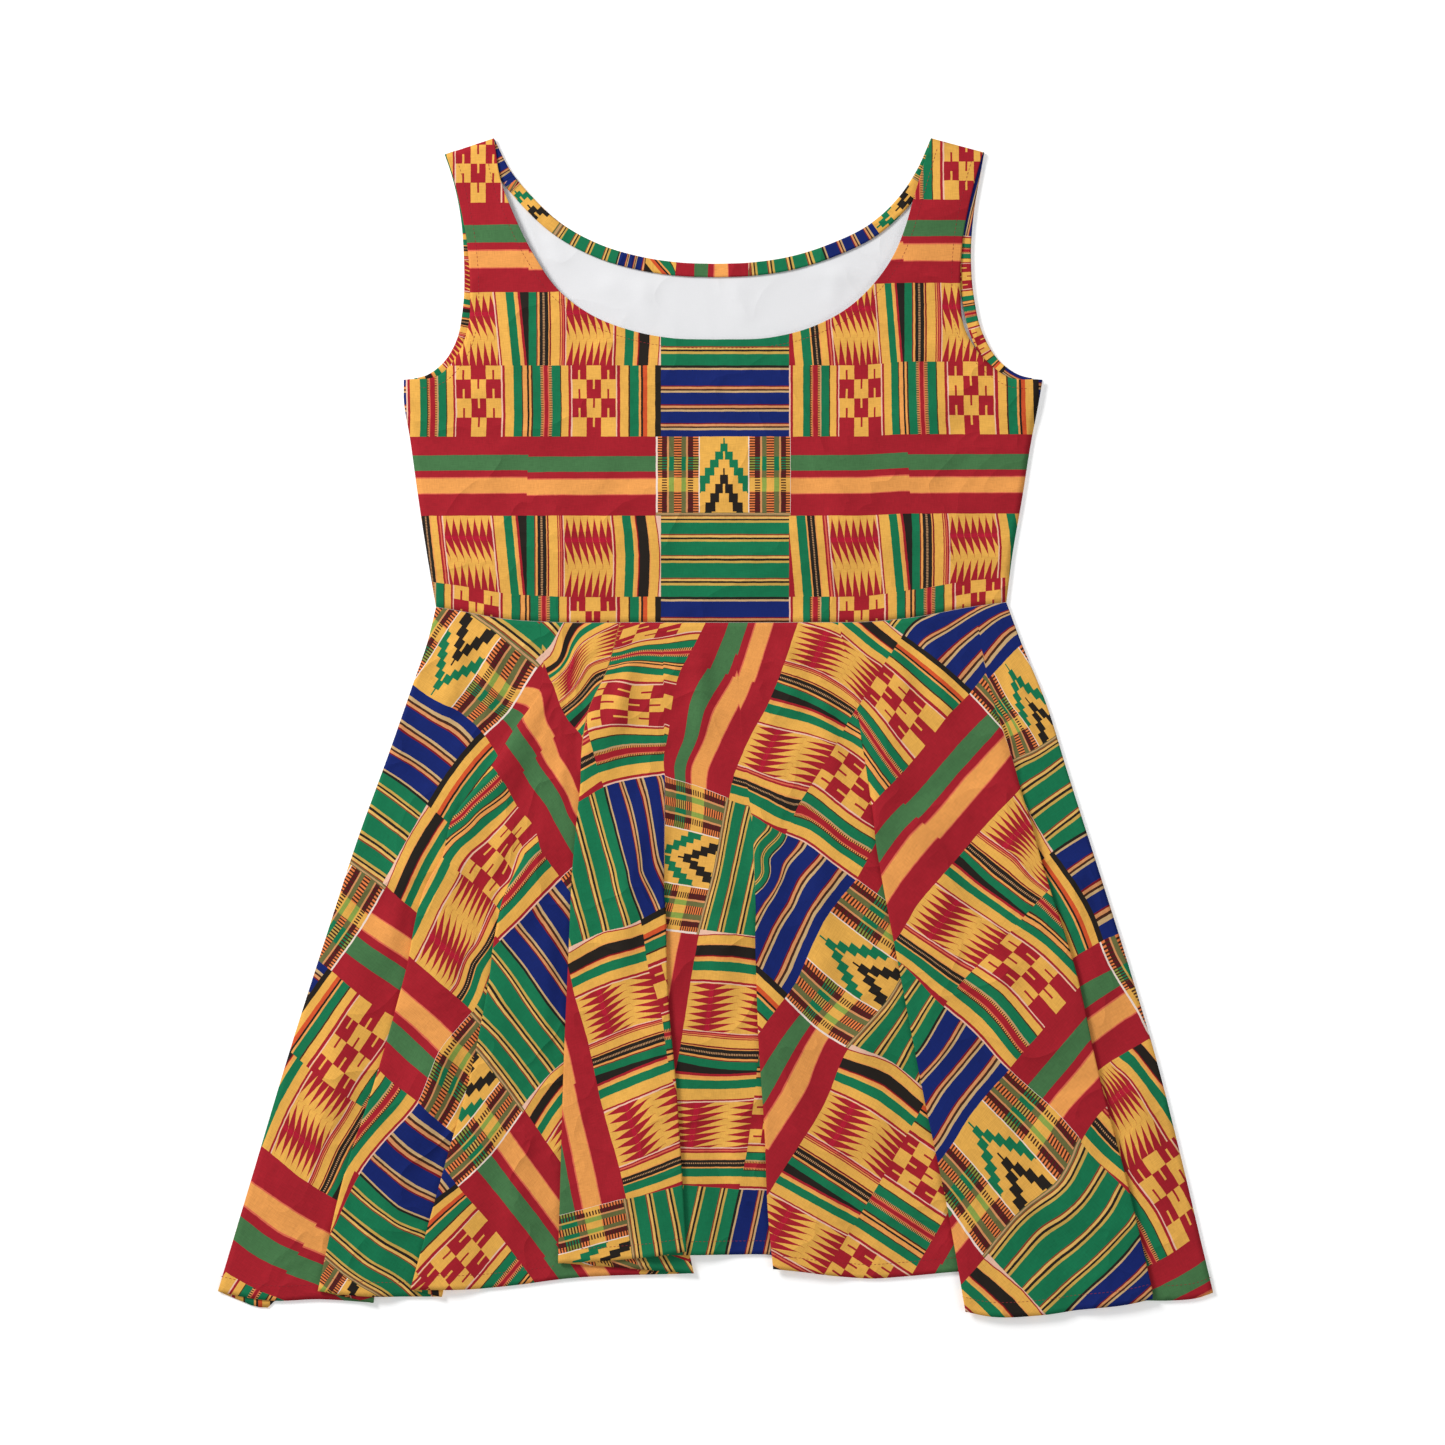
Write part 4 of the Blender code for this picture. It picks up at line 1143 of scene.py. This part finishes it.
def chequered(chart, across, down, start, colour, first):
    """Three columns of squares, four rows, each square slit half way in the other colour."""
    place = chart.math("DIVIDE", chart.math("SUBTRACT", across, start), SQUARE_WIDTH)
    column = chart.math("FLOOR", place)
    fallen = chart.math("SUBTRACT", down, SPIKE_ROW_END - SQUARES_HIDDEN)
    level = chart.math("DIVIDE", fallen, SQUARE_HEIGHT)
    row = chart.math("FLOOR", level)
    odd = chart.math("FLOORED_MODULO", chart.total(column, row, first), 2.0)
    centre = chart.between(column, 0.5, 1.5)
    side = chart.math("SUBTRACT", 1.0, centre)
    low_half = chart.math("GREATER_THAN", chart.math("FRACT", level), 0.5)
    high_half = chart.math("SUBTRACT", 1.0, low_half)
    side_slit = chart.both(side, low_half, chart.math("LESS_THAN", row, 2.5))
    centre_slit = chart.both(centre, high_half, chart.math("GREATER_THAN", row, 0.5))
    off = chart.math("ABSOLUTE", chart.math("SUBTRACT", chart.math("FRACT", place), 0.5))
    slit = chart.both(chart.math("LESS_THAN", off, SLIT), chart.math("ADD", side_slit, centre_slit))
    red = chart.math("ABSOLUTE", chart.math("SUBTRACT", odd, slit))
    squares = chart.between(across, start, start + 3 * SQUARE_WIDTH)
    inside = chart.both(squares, chart.math("SUBTRACT", 1.0, red))
    return chart.mix(inside, colour, "red")


print("teeth and squares are", TOOTH_PITCH, "and", SQUARE_WIDTH, "threads wide")


# %% The stepped arrow and its combs
ARROW_AXIS = 197.0
ARROW_HALF = 68.0  # the block's half width
GREEN_ROWS, YELLOW_ROWS = (20.0, 34.0), (41.0, 55.0)  # rows where the combs change their dyes
ARROW_END = 76.0
# Arrows: top, height of a step, widest half, (half width added by a step, at the first step) of the outer
# and the inner edge, and the row where it ends
ARROWS = {
    "green": (-1.0, 8.0, 24.0, (5.2, -1.6), (4.4, -7.9), 56.5),
    "black": (29.0, 9.2, 19.2, (4.9, -0.9), (3.75, -6.4), ARROW_END),
}
ARROW_TIP = 2.5  # how far below its top an arrow starts
LEAST_HALF = 0.8


def arrow_block(chart, across, down, dash):
    """The middle block beside the red band: a stepped green arrow over a black one, between combs."""
    off = chart.math("ABSOLUTE", chart.math("SUBTRACT", across, ARROW_AXIS))
    looks = {}
    for rows, dyes in COMB_DYES.items():
        table = [(place, {**dyes, **COMB_ALWAYS}[kind]) for place, kind in COMB_KINDS]
        looks[rows] = chart.stripes(off, 0.0, ARROW_HALF, table, dash)
    colour = chart.mix(chart.between(down, *GREEN_ROWS), looks["orange rows"], looks["green rows"])
    colour = chart.mix(chart.between(down, *YELLOW_ROWS), colour, looks["yellow rows"])
    for colour_name, (top, height, last, outer_rule, inner_rule, low) in ARROWS.items():
        step = chart.math("FLOOR", chart.math("DIVIDE", chart.math("SUBTRACT", down, top), height))
        outer, inner = [chart.math("ADD", chart.math("MULTIPLY", step, slope), start)
                        for slope, start in (outer_rule, inner_rule)]
        outer = chart.math("MAXIMUM", chart.math("MINIMUM", outer, last), LEAST_HALF)
        arrow = chart.both(
            chart.math("GREATER_THAN", off, inner),
            chart.math("LESS_THAN", off, outer),
            chart.between(down, top + ARROW_TIP, low),
        )
        colour = chart.mix(arrow, colour, colour_name)
    foot = chart.math("GREATER_THAN", down, ARROW_END)
    return chart.mix(foot, colour, chart.mix(dash, "olive", "tan"))


print("arrow axis at thread", ARROW_AXIS)


# %% One repeat of the print, as a shader group
DASH, FINE_DASH = 2.6, 1.7  # threads in a dash and its gap
BAND_SAG = 2.0  # the red band runs this much lower at one end of the repeat than at the other
BOW = ((0, 1), (20, 0.35), (40, 0), (60, 0.12), (81, 0.4))  # down the toothed block, for its bent stripes
BOW_SHARE = 0.037
SPIKE_LEAN, SPIKE_MIDDLE = 0.09, 40.0
TEETH_B, TEETH_A = 38.0, 304.5  # threads where the teeth start, across
SQUARES_B, SQUARES_A = 43.5, 312.0
ARROW_BLOCK = (ARROW_AXIS - ARROW_HALF, ARROW_AXIS + 66.5)


def print_group():
    tree, chart, given, result = new_group(
        "strip_print",
        [("Place", "NodeSocketVector"), ("Waver", "NodeSocketFloat")],
        [("Colour", "NodeSocketColor")])
    place, waver = given.outputs["Place"], given.outputs["Waver"]
    noise = chart.add("ShaderNodeTexNoise", {
        "Vector": place, "Scale": 26.0, "Detail": 3.0, "Roughness": 0.62})
    parts = chart.add("ShaderNodeSeparateXYZ", {0: place})
    shifts = chart.add("ShaderNodeSeparateColor", {0: noise.outputs["Color"]})
    threads = []
    for axis, count in enumerate(REPEAT):
        shift = chart.math("MULTIPLY", chart.math("SUBTRACT", shifts.outputs[axis], 0.5), waver)
        whole = chart.math("ADD", chart.math("MULTIPLY", parts.outputs[axis], count), shift)
        threads.append(chart.math("FLOORED_MODULO", whole, count))
    across, down = threads
    dash_phases = [chart.math("FRACT", chart.math("DIVIDE", down, pitch)) for pitch in (DASH, FINE_DASH)]
    dash_down, fine_dash = [chart.math("GREATER_THAN", phase, 0.5) for phase in dash_phases]
    beside = chart.math("GREATER_THAN", across, BLOCK_B_END)
    beyond = chart.math("GREATER_THAN", across, MIDDLE_END)
    off_middle = chart.math("SUBTRACT", chart.math("DIVIDE", across, REPEAT_END), 0.5)
    sag = chart.math("MULTIPLY", off_middle, BAND_SAG)
    band = chart.stripes(chart.math("ADD", down, sag), 0.0, BAND_ROW_END, BAND, dash_down)
    arrow = arrow_block(chart, across, down, dash_down)
    top = chart.mix(chart.between(across, *ARROW_BLOCK), band, arrow)
    b = chart.math("SUBTRACT", down, BAND_ROW_END)
    bow = chart.math("MULTIPLY", chart.graph(b, SPIKE_ROW, BOW), BOW_SHARE)
    bowed = chart.math("MULTIPLY", across, chart.math("ADD", bow, 1.0))
    spike_b = chart.stripes(bowed, 0.0, BLOCK_B_END, SPIKE_B, fine_dash)
    spike_b = toothed(chart, bowed, down, TEETH_B, spike_b, 0.5)
    lean = chart.math("MULTIPLY", chart.math("SUBTRACT", b, SPIKE_MIDDLE), SPIKE_LEAN)
    leaning = chart.math("SUBTRACT", across, lean)
    spike_a = chart.stripes(leaning, MIDDLE_END, REPEAT_END - MIDDLE_END, SPIKE_A, fine_dash)
    spike_a = toothed(chart, leaning, down, TEETH_A, spike_a, 0.0)
    greens = chart.stripes(down, BAND_ROW_END, SPIKE_ROW, GREENS, dash_down)
    middle = chart.mix(beyond, chart.mix(beside, spike_b, greens), spike_a)
    check_b = chart.stripes(across, 0.0, BLOCK_B_END, CHECK_B, fine_dash)
    check_b = chequered(chart, across, down, SQUARES_B, check_b, 0.0)
    check_a = chart.stripes(across, MIDDLE_END, REPEAT_END - MIDDLE_END, CHECK_A, fine_dash)
    check_a = chequered(chart, across, down, SQUARES_A, check_a, 1.0)
    blues = chart.stripes(down, SPIKE_ROW_END, CHECK_ROW_END - SPIKE_ROW_END, BLUES, dash_down)
    low = chart.mix(beyond, chart.mix(beside, check_b, blues), check_a)
    colour = chart.mix(chart.math("GREATER_THAN", down, BAND_ROW_END), top, middle)
    colour = chart.mix(chart.math("GREATER_THAN", down, SPIKE_ROW_END), colour, low)
    chart.tree.links.new(colour, result.inputs["Colour"])
    return tree


PRINT_GROUP = print_group()
print("nodes in the print", len(PRINT_GROUP.nodes))


# %% [markdown]
# ## The feel of the cloth
#
# Close up the cotton is a plain weave with slubs, thicker stretches of thread that take the dye a little
# darker. Two long thin noises at right angles stand for the two sets of threads. A broad noise with a
# ridge along its middle value gives the small crinkles of cloth that was packed. The same group serves
# the printed side, the bindings and the plain inside, which takes less of it.

# %% Weave and slubs, as a shader group
ACROSS_THREADS, DOWN_THREADS = (520.0, 30.0, 1.0), (44.0, 330.0, 1.0)  # noise cells in a repeat
CRINKLES = (3.4, 2.1, 1.0)
CRINKLE_SHARPNESS = 6.0
CLOUDED = 0.36  # how much of the unevenness is broad clouds of dye


def weave_group():
    tree, chart, given, result = new_group(
        "slubby_weave",
        [("Place", "NodeSocketVector"), ("Depth", "NodeSocketFloat"), ("Base", "NodeSocketColor")],
        [("Colour", "NodeSocketColor"), ("Height", "NodeSocketFloat"), ("Crinkle", "NodeSocketFloat"),
         ("Rough", "NodeSocketFloat")])
    threads = []
    for cells in (ACROSS_THREADS, DOWN_THREADS):
        node = chart.add("ShaderNodeMapping", {"Vector": given.outputs["Place"], "Scale": cells})
        noise = chart.add("ShaderNodeTexNoise", {"Vector": node.outputs[0], "Scale": 1.0, "Detail": 2.0})
        threads.append(noise.outputs[0])
    height = chart.math("MULTIPLY", chart.total(*threads), 0.5)
    cloud = chart.add("ShaderNodeTexNoise", {
        "Vector": given.outputs["Place"], "Scale": 7.0, "Detail": 4.0})
    clouds = chart.math("MULTIPLY", chart.math("SUBTRACT", cloud.outputs[0], 0.5), CLOUDED)
    uneven = chart.total(chart.math("SUBTRACT", height, 0.5), clouds)
    fade = chart.math("ADD", chart.math("MULTIPLY", uneven, given.outputs["Depth"]), 1.0)
    shaded = chart.add(
        "ShaderNodeVectorMath", {0: given.outputs["Base"], "Scale": fade}, operation="SCALE")
    chart.tree.links.new(shaded.outputs[0], result.inputs["Colour"])
    chart.tree.links.new(height, result.inputs["Height"])
    wide = chart.add("ShaderNodeMapping", {"Vector": given.outputs["Place"], "Scale": CRINKLES})
    soft = chart.add("ShaderNodeTexNoise", {
        "Vector": wide.outputs[0], "Scale": 1.0, "Detail": 2.5, "Distortion": 0.4})
    off = chart.math("ABSOLUTE", chart.math("SUBTRACT", soft.outputs[0], 0.5))
    beside = chart.math("SUBTRACT", 1.0, chart.math("MULTIPLY", off, 2.0))
    ridge = chart.math("POWER", beside, CRINKLE_SHARPNESS)
    chart.tree.links.new(chart.total(ridge, soft.outputs[0]), result.inputs["Crinkle"])
    rough = chart.math("ADD", chart.math("MULTIPLY", height, 0.2), 0.68)
    chart.tree.links.new(rough, result.inputs["Rough"])
    return tree


WEAVE_GROUP = weave_group()


PLAIN_WHITE = (0.82, 0.82, 0.835)
WAVER = 1.1  # threads that a printed line strays by


def cloth_material(name, printed, depth=0.85, crinkled=0.42):
    """A cotton: printed, or plain white, with the weave's own shade and bump."""
    material = bpy.data.materials.new(name)
    material.use_nodes = True
    chart = Chart(material.node_tree)
    shader = material.node_tree.nodes["Principled BSDF"]
    place = chart.add("ShaderNodeUVMap", uv_map="print").outputs[0]
    weave = chart.add("ShaderNodeGroup", {}, node_tree=WEAVE_GROUP)
    chart.tree.links.new(place, weave.inputs["Place"])
    weave.inputs["Depth"].default_value = depth
    if printed:
        dyes = chart.add("ShaderNodeGroup", {}, node_tree=PRINT_GROUP)
        chart.tree.links.new(place, dyes.inputs["Place"])
        dyes.inputs["Waver"].default_value = WAVER
        chart.tree.links.new(dyes.outputs["Colour"], weave.inputs["Base"])
    else:
        weave.inputs["Base"].default_value = (*PLAIN_WHITE, 1)
    crinkle = chart.add("ShaderNodeBump", {
        "Strength": crinkled, "Distance": 0.004, "Height": weave.outputs["Crinkle"]})
    bump = chart.add("ShaderNodeBump", {
        "Strength": 0.25, "Distance": 0.0003, "Height": weave.outputs["Height"],
        "Normal": crinkle.outputs[0]})
    chart.tree.links.new(weave.outputs["Colour"], shader.inputs["Base Color"])
    chart.tree.links.new(weave.outputs["Rough"], shader.inputs["Roughness"])
    chart.tree.links.new(bump.outputs[0], shader.inputs["Normal"])
    shader.inputs["Specular IOR Level"].default_value = 0.12
    return material


PRINT = cloth_material("printed_cotton", True)
INSIDE = cloth_material("plain_cotton", False, depth=0.06, crinkled=0.12)
BINDING = cloth_material("binding_cotton", True)
print("materials", [material.name for material in (PRINT, INSIDE, BINDING)])


# %% [markdown]
# ## Sewing the panels
#
# Every panel replaces the plain solid of the same name. Its printed side faces out: up on the front, and
# down, on the floor, on the back, so the back shows its plain inside in the neck. Hems are turned to the
# inside, which brings a narrow strip of print to the plain side.

# %% Panels
PRINTED_UP = [PRINT, INSIDE, PRINT, PRINT]
PLAIN_UP = [INSIDE, PRINT, PRINT, PRINT]
TURNED = 2  # material index of a turned hem
# Widths of the strips of print on the plain side, along the hem
FRONT_TURNED, BACK_TURNED = 30, HEM_WIDTH + 6


def turn_hem(cloth, net, width):
    """Faces nearer than this to the net's last row are printed on both sides."""
    hem = net[-1, :, :2]
    for face in cloth.data.polygons:
        centre = np.array([face.center.x, face.center.y]) / MM
        nearest = np.argmin(np.abs(hem[:, 0] - centre[0]))
        if centre[1] < hem[nearest, 1] + width:
            face.material_index = TURNED


BODICE_PRINTS = {panel: [bodice_print(net) for net in nets] for panel, nets in BODICE_NETS.items()}
front = add_cloth("front_bodice", BODICE_NETS["front"], BODICE_PRINTS["front"], PRINTED_UP)
back = add_cloth("back_bodice", BODICE_NETS["back"], BODICE_PRINTS["back"], PLAIN_UP)
skirt = add_cloth("front_skirt", [FRONT_NET], [FRONT_PRINT], PRINTED_UP, flip=True)
back_skirt = add_cloth("back_skirt", [BACK_NET], [bodice_print(BACK_NET)], PLAIN_UP, flip=True)
turn_hem(skirt, FRONT_NET, FRONT_TURNED)
turn_hem(back_skirt, BACK_NET, BACK_TURNED)
print("faces", [len(item.data.polygons) for item in (front, back, skirt, back_skirt)])


# %% Bindings: share of the strip, threads across, threads down
# (threads across, threads down) that go by for each thread of a strip's width
NECK_WAYS, ARM_WAYS = (1, 0), (0, 1.6)
NECK_PRINT = (
    (0, 190, -290), (0.07, 190, -236), (0.075, 258, -232), (0.095, 225, -230), (0.1, 188, -228),
    (0.181, 188, -160), (0.208, 188, -152), (0.32, 190, -72), (0.36, 190, -20), (0.37, 124, -10),
    (0.42, 100, 0), (0.43, 90, 0), (0.557, 100, 79), (0.565, 150, 79), (0.7, 178, 160), (0.805, 190, 231),
    (0.92, 190, 308), (1, 190, 391),
)
ARM_PRINTS = {
    "left": ((0, 524, 106), (1, 135, 106)),
    "right": ((0, 570, 175), (0.665, 262, 175.5), (0.81, 200, 183), (1, 136, 190)),
}
neck_net = band_net(neck_edge(), NECK_BAND_WIDTH, -1)
neck_spots = strip_print(neck_net, NECK_PRINT, NECK_WAYS)
neck_band = add_cloth("back_neck_binding", [neck_net], [neck_spots], [BINDING] * 4, flip=True)
arm_bands = {}
for side, turn in (("left", 1), ("right", -1)):
    edge = smooth_line(BACK_ARMHOLE[side], np.linspace(ARM_BAND_START, 1, EDGE_POINTS))
    net = band_net(edge, ARM_BAND_WIDTH, -turn)
    spots = strip_print(net, ARM_PRINTS[side], ARM_WAYS)
    arm_bands[side] = add_cloth(f"{side}_armhole_binding", [net], [spots], [BINDING] * 4, flip=turn > 0)
print("bindings", len(arm_bands) + 1)


# %% [markdown]
# ## Stitches
#
# The neck and armholes are topstitched a few millimetres inside their edges, and the hem is stitched where
# its turning ends. A row of stitches is one small shape repeated along a path, which is work for Geometry
# Nodes: the path is cut into even steps and each point gets a stitch that points along it.

# %% A tree that sews
STITCH_PITCH, STITCH_LENGTH, STITCH_THICK = 3.0, 2.1, 0.42


def stitch_tree():
    tree = bpy.data.node_groups.new("row_of_stitches", "GeometryNodeTree")
    tree.interface.new_socket("Path", in_out="INPUT", socket_type="NodeSocketGeometry")
    for label in ("Pitch", "Length", "Thickness"):
        tree.interface.new_socket(label, in_out="INPUT", socket_type="NodeSocketFloat")
    tree.interface.new_socket("Thread", in_out="INPUT", socket_type="NodeSocketMaterial")
    tree.interface.new_socket("Stitches", in_out="OUTPUT", socket_type="NodeSocketGeometry")
    chart = Chart(tree)
    given, result = chart.add("NodeGroupInput"), chart.add("NodeGroupOutput")
    curve = chart.add("GeometryNodeMeshToCurve", {0: given.outputs["Path"]})
    steps = chart.add("GeometryNodeResampleCurve", {"Curve": curve.outputs[0]}, mode="LENGTH")
    chart.tree.links.new(given.outputs["Pitch"], steps.inputs["Length"])
    ball = chart.add("GeometryNodeMeshUVSphere", {"Segments": 6, "Rings": 4, "Radius": 0.5})
    size = chart.add("ShaderNodeCombineXYZ", {
        0: given.outputs["Thickness"], 1: given.outputs["Thickness"], 2: given.outputs["Length"]})
    shape = chart.add("GeometryNodeTransform", {"Geometry": ball.outputs[0], "Scale": size.outputs[0]})
    tangent = chart.add("GeometryNodeInputTangent")
    turned = chart.add("FunctionNodeAlignRotationToVector", {"Vector": tangent.outputs[0]}, axis="Z")
    placed = chart.add("GeometryNodeInstanceOnPoints", {
        "Points": steps.outputs[0], "Instance": shape.outputs[0], "Rotation": turned.outputs[0]})
    real = chart.add("GeometryNodeRealizeInstances", {0: placed.outputs[0]})
    painted = chart.add("GeometryNodeSetMaterial", {
        "Geometry": real.outputs[0], "Material": given.outputs["Thread"]})
    chart.tree.links.new(painted.outputs[0], result.inputs[0])
    return tree


STITCHES = stitch_tree()


def thread_material(name, main_dye):
    material = bpy.data.materials.new(name)
    material.use_nodes = True
    chart = Chart(material.node_tree)
    shader = material.node_tree.nodes["Principled BSDF"]
    place = chart.add("ShaderNodeTexCoord").outputs["Object"]
    noise = chart.add("ShaderNodeTexNoise", {"Vector": place, "Scale": 900.0, "Detail": 2.0})
    colour = chart.mix(noise.outputs[0], (*dye(main_dye), 1), (*dye("dark red"), 1))
    chart.tree.links.new(colour, shader.inputs["Base Color"])
    shader.inputs["Roughness"].default_value = 0.7
    return material


THREAD_RED = thread_material("sewing_thread", "red")


def sew(name, paths):
    """Stitches along paths of points in mm, as one plain mesh."""
    mesh = bpy.data.meshes.new(name)
    points, edges = [], []
    for path in paths:
        edges += [(len(points) + index, len(points) + index + 1) for index in range(len(path) - 1)]
        points += [tuple(point * MM) for point in path]
    mesh.from_pydata(points, edges, [])
    row = bpy.data.objects.new(name, mesh)
    CLOTH_COLLECTION.objects.link(row)
    modifier = row.modifiers.new("stitches", "NODES")
    modifier.node_group = STITCHES
    values = {"Pitch": STITCH_PITCH * MM, "Length": STITCH_LENGTH * MM, "Thickness": STITCH_THICK * MM,
              "Thread": THREAD_RED}
    for socket in STITCHES.interface.items_tree:
        if socket.name in values and socket.in_out == "INPUT":
            modifier[socket.identifier] = values[socket.name]
    bpy.context.view_layer.update()
    made = bpy.data.meshes.new_from_object(row.evaluated_get(bpy.context.evaluated_depsgraph_get()))
    row.modifiers.remove(modifier)
    row.data = made
    made.shade_smooth()
    return row


# %% Paths for the stitches
EDGE_TO_STITCH = 6.5
COVER_REACH, COVER_RISE = 2.5, 1.2  # a point is covered by one this near that is this much higher
SKIRT_LENGTH = 500


def lay_on(path, nets):
    """Points of a flat path, raised onto the nearest points of the nets, just into the cloth's top."""
    cloth = np.vstack([net.reshape(-1, 3) for net in nets])
    raised = []
    for point in path:
        near = np.hypot(cloth[:, 0] - point[0], cloth[:, 1] - point[1])
        raised.append((*point, cloth[np.argmin(near), 2] + WALL / 2))
    return np.array(raised)


def inset(edge, distance):
    """A flat line moved to its left by a distance."""
    along = np.gradient(edge, axis=0)
    along /= np.linalg.norm(along, axis=1)[:, None]
    return edge + distance * np.column_stack([-along[:, 1], along[:, 0]])


def visible_runs(row):
    """Stretches of a skirt row that no other layer covers."""
    gap = np.abs(row[:, None, 0] - row[None, :, 0])
    higher = row[None, :, 2] > row[:, None, 2] + COVER_RISE
    covered = ((gap < COVER_REACH) & higher).any(axis=1)
    runs, run = [], []
    for hidden, point in zip(covered, row):
        if hidden:
            runs.append(run)
            run = []
        else:
            run.append(point + np.array([0, 0, WALL / 2]))
    runs.append(run)
    return [np.array(run) for run in runs if len(run) > 2]


neck_front = np.vstack([smooth_line(FRONT_NECK["left"], np.linspace(0.97, 0, 90)),
                        smooth_line(FRONT_NECK["right"], np.linspace(0, 0.97, 90))[1:]])
neck_path = lay_on(inset(neck_front, -EDGE_TO_STITCH), BODICE_NETS["front"])
neck_stitches = sew("front_neck_stitches", [neck_path])
arm_paths = []
for side, turn in (("left", -1), ("right", 1)):
    edge = smooth_line(FRONT_ARMHOLE[side], np.linspace(0.06, 0.97, 80))
    arm_paths.append(lay_on(inset(edge, turn * EDGE_TO_STITCH), BODICE_NETS["front"]))
arm_stitches = sew("front_armhole_stitches", arm_paths)
hem_share = 1 - HEM_WIDTH / SKIRT_LENGTH
hem_row = FRONT_NET[round(hem_share * SKIRT_ROWS)]
hem_stitches = sew("front_hem_stitches", visible_runs(hem_row))
print("stitch faces", [len(item.data.polygons) for item in (neck_stitches, arm_stitches, hem_stitches)])


# %% [markdown]
# ## Putting the pieces in place
#
# Each panel and its rows of stitches hang from the root body, and each panel takes the place of the frame's
# plain part, which is hidden. The table gives the size that each panel was cut to. The bodice panels and
# bindings lie as they were cut. The skirt's front shows eight stretches of a part circle, whose other cloth
# is inside the folds.

# %% Pieces, the frame's parts, slots, cut sizes, areas, carriers and stitches
SHEETS = (
    (front, "bodice_front", "print_front", (0.479, 0.363), 0.110, ["bodice_back"],
     [neck_stitches, arm_stitches]),
    (back, "bodice_back", "plain_inside", (0.479, 0.363), 0.128, [], []),
    (skirt, "skirt_front", "print_skirt", (1.31, 0.66), 0.588, ["skirt_back"], [hem_stitches]),
    (back_skirt, "skirt_back", "print_skirt", (0.746, 0.53), 0.2925, [], []),
    (neck_band, "neck_band_back", "binding", (0.42, 0.010), 0.0042, ["bodice_back"], []),
    (arm_bands["left"], "armhole_band_left", "binding", (0.19, 0.010), 0.0017, ["bodice_back"], []),
    (arm_bands["right"], "armhole_band_right", "binding", (0.19, 0.010), 0.0017, ["bodice_back"], []),
)
for piece, node, slot, cut, area, carried_by, trims in SHEETS:
    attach(piece, "root")
    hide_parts(node)
    for trim in trims:
        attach(trim, "root")
print("sheets", len(SHEETS))
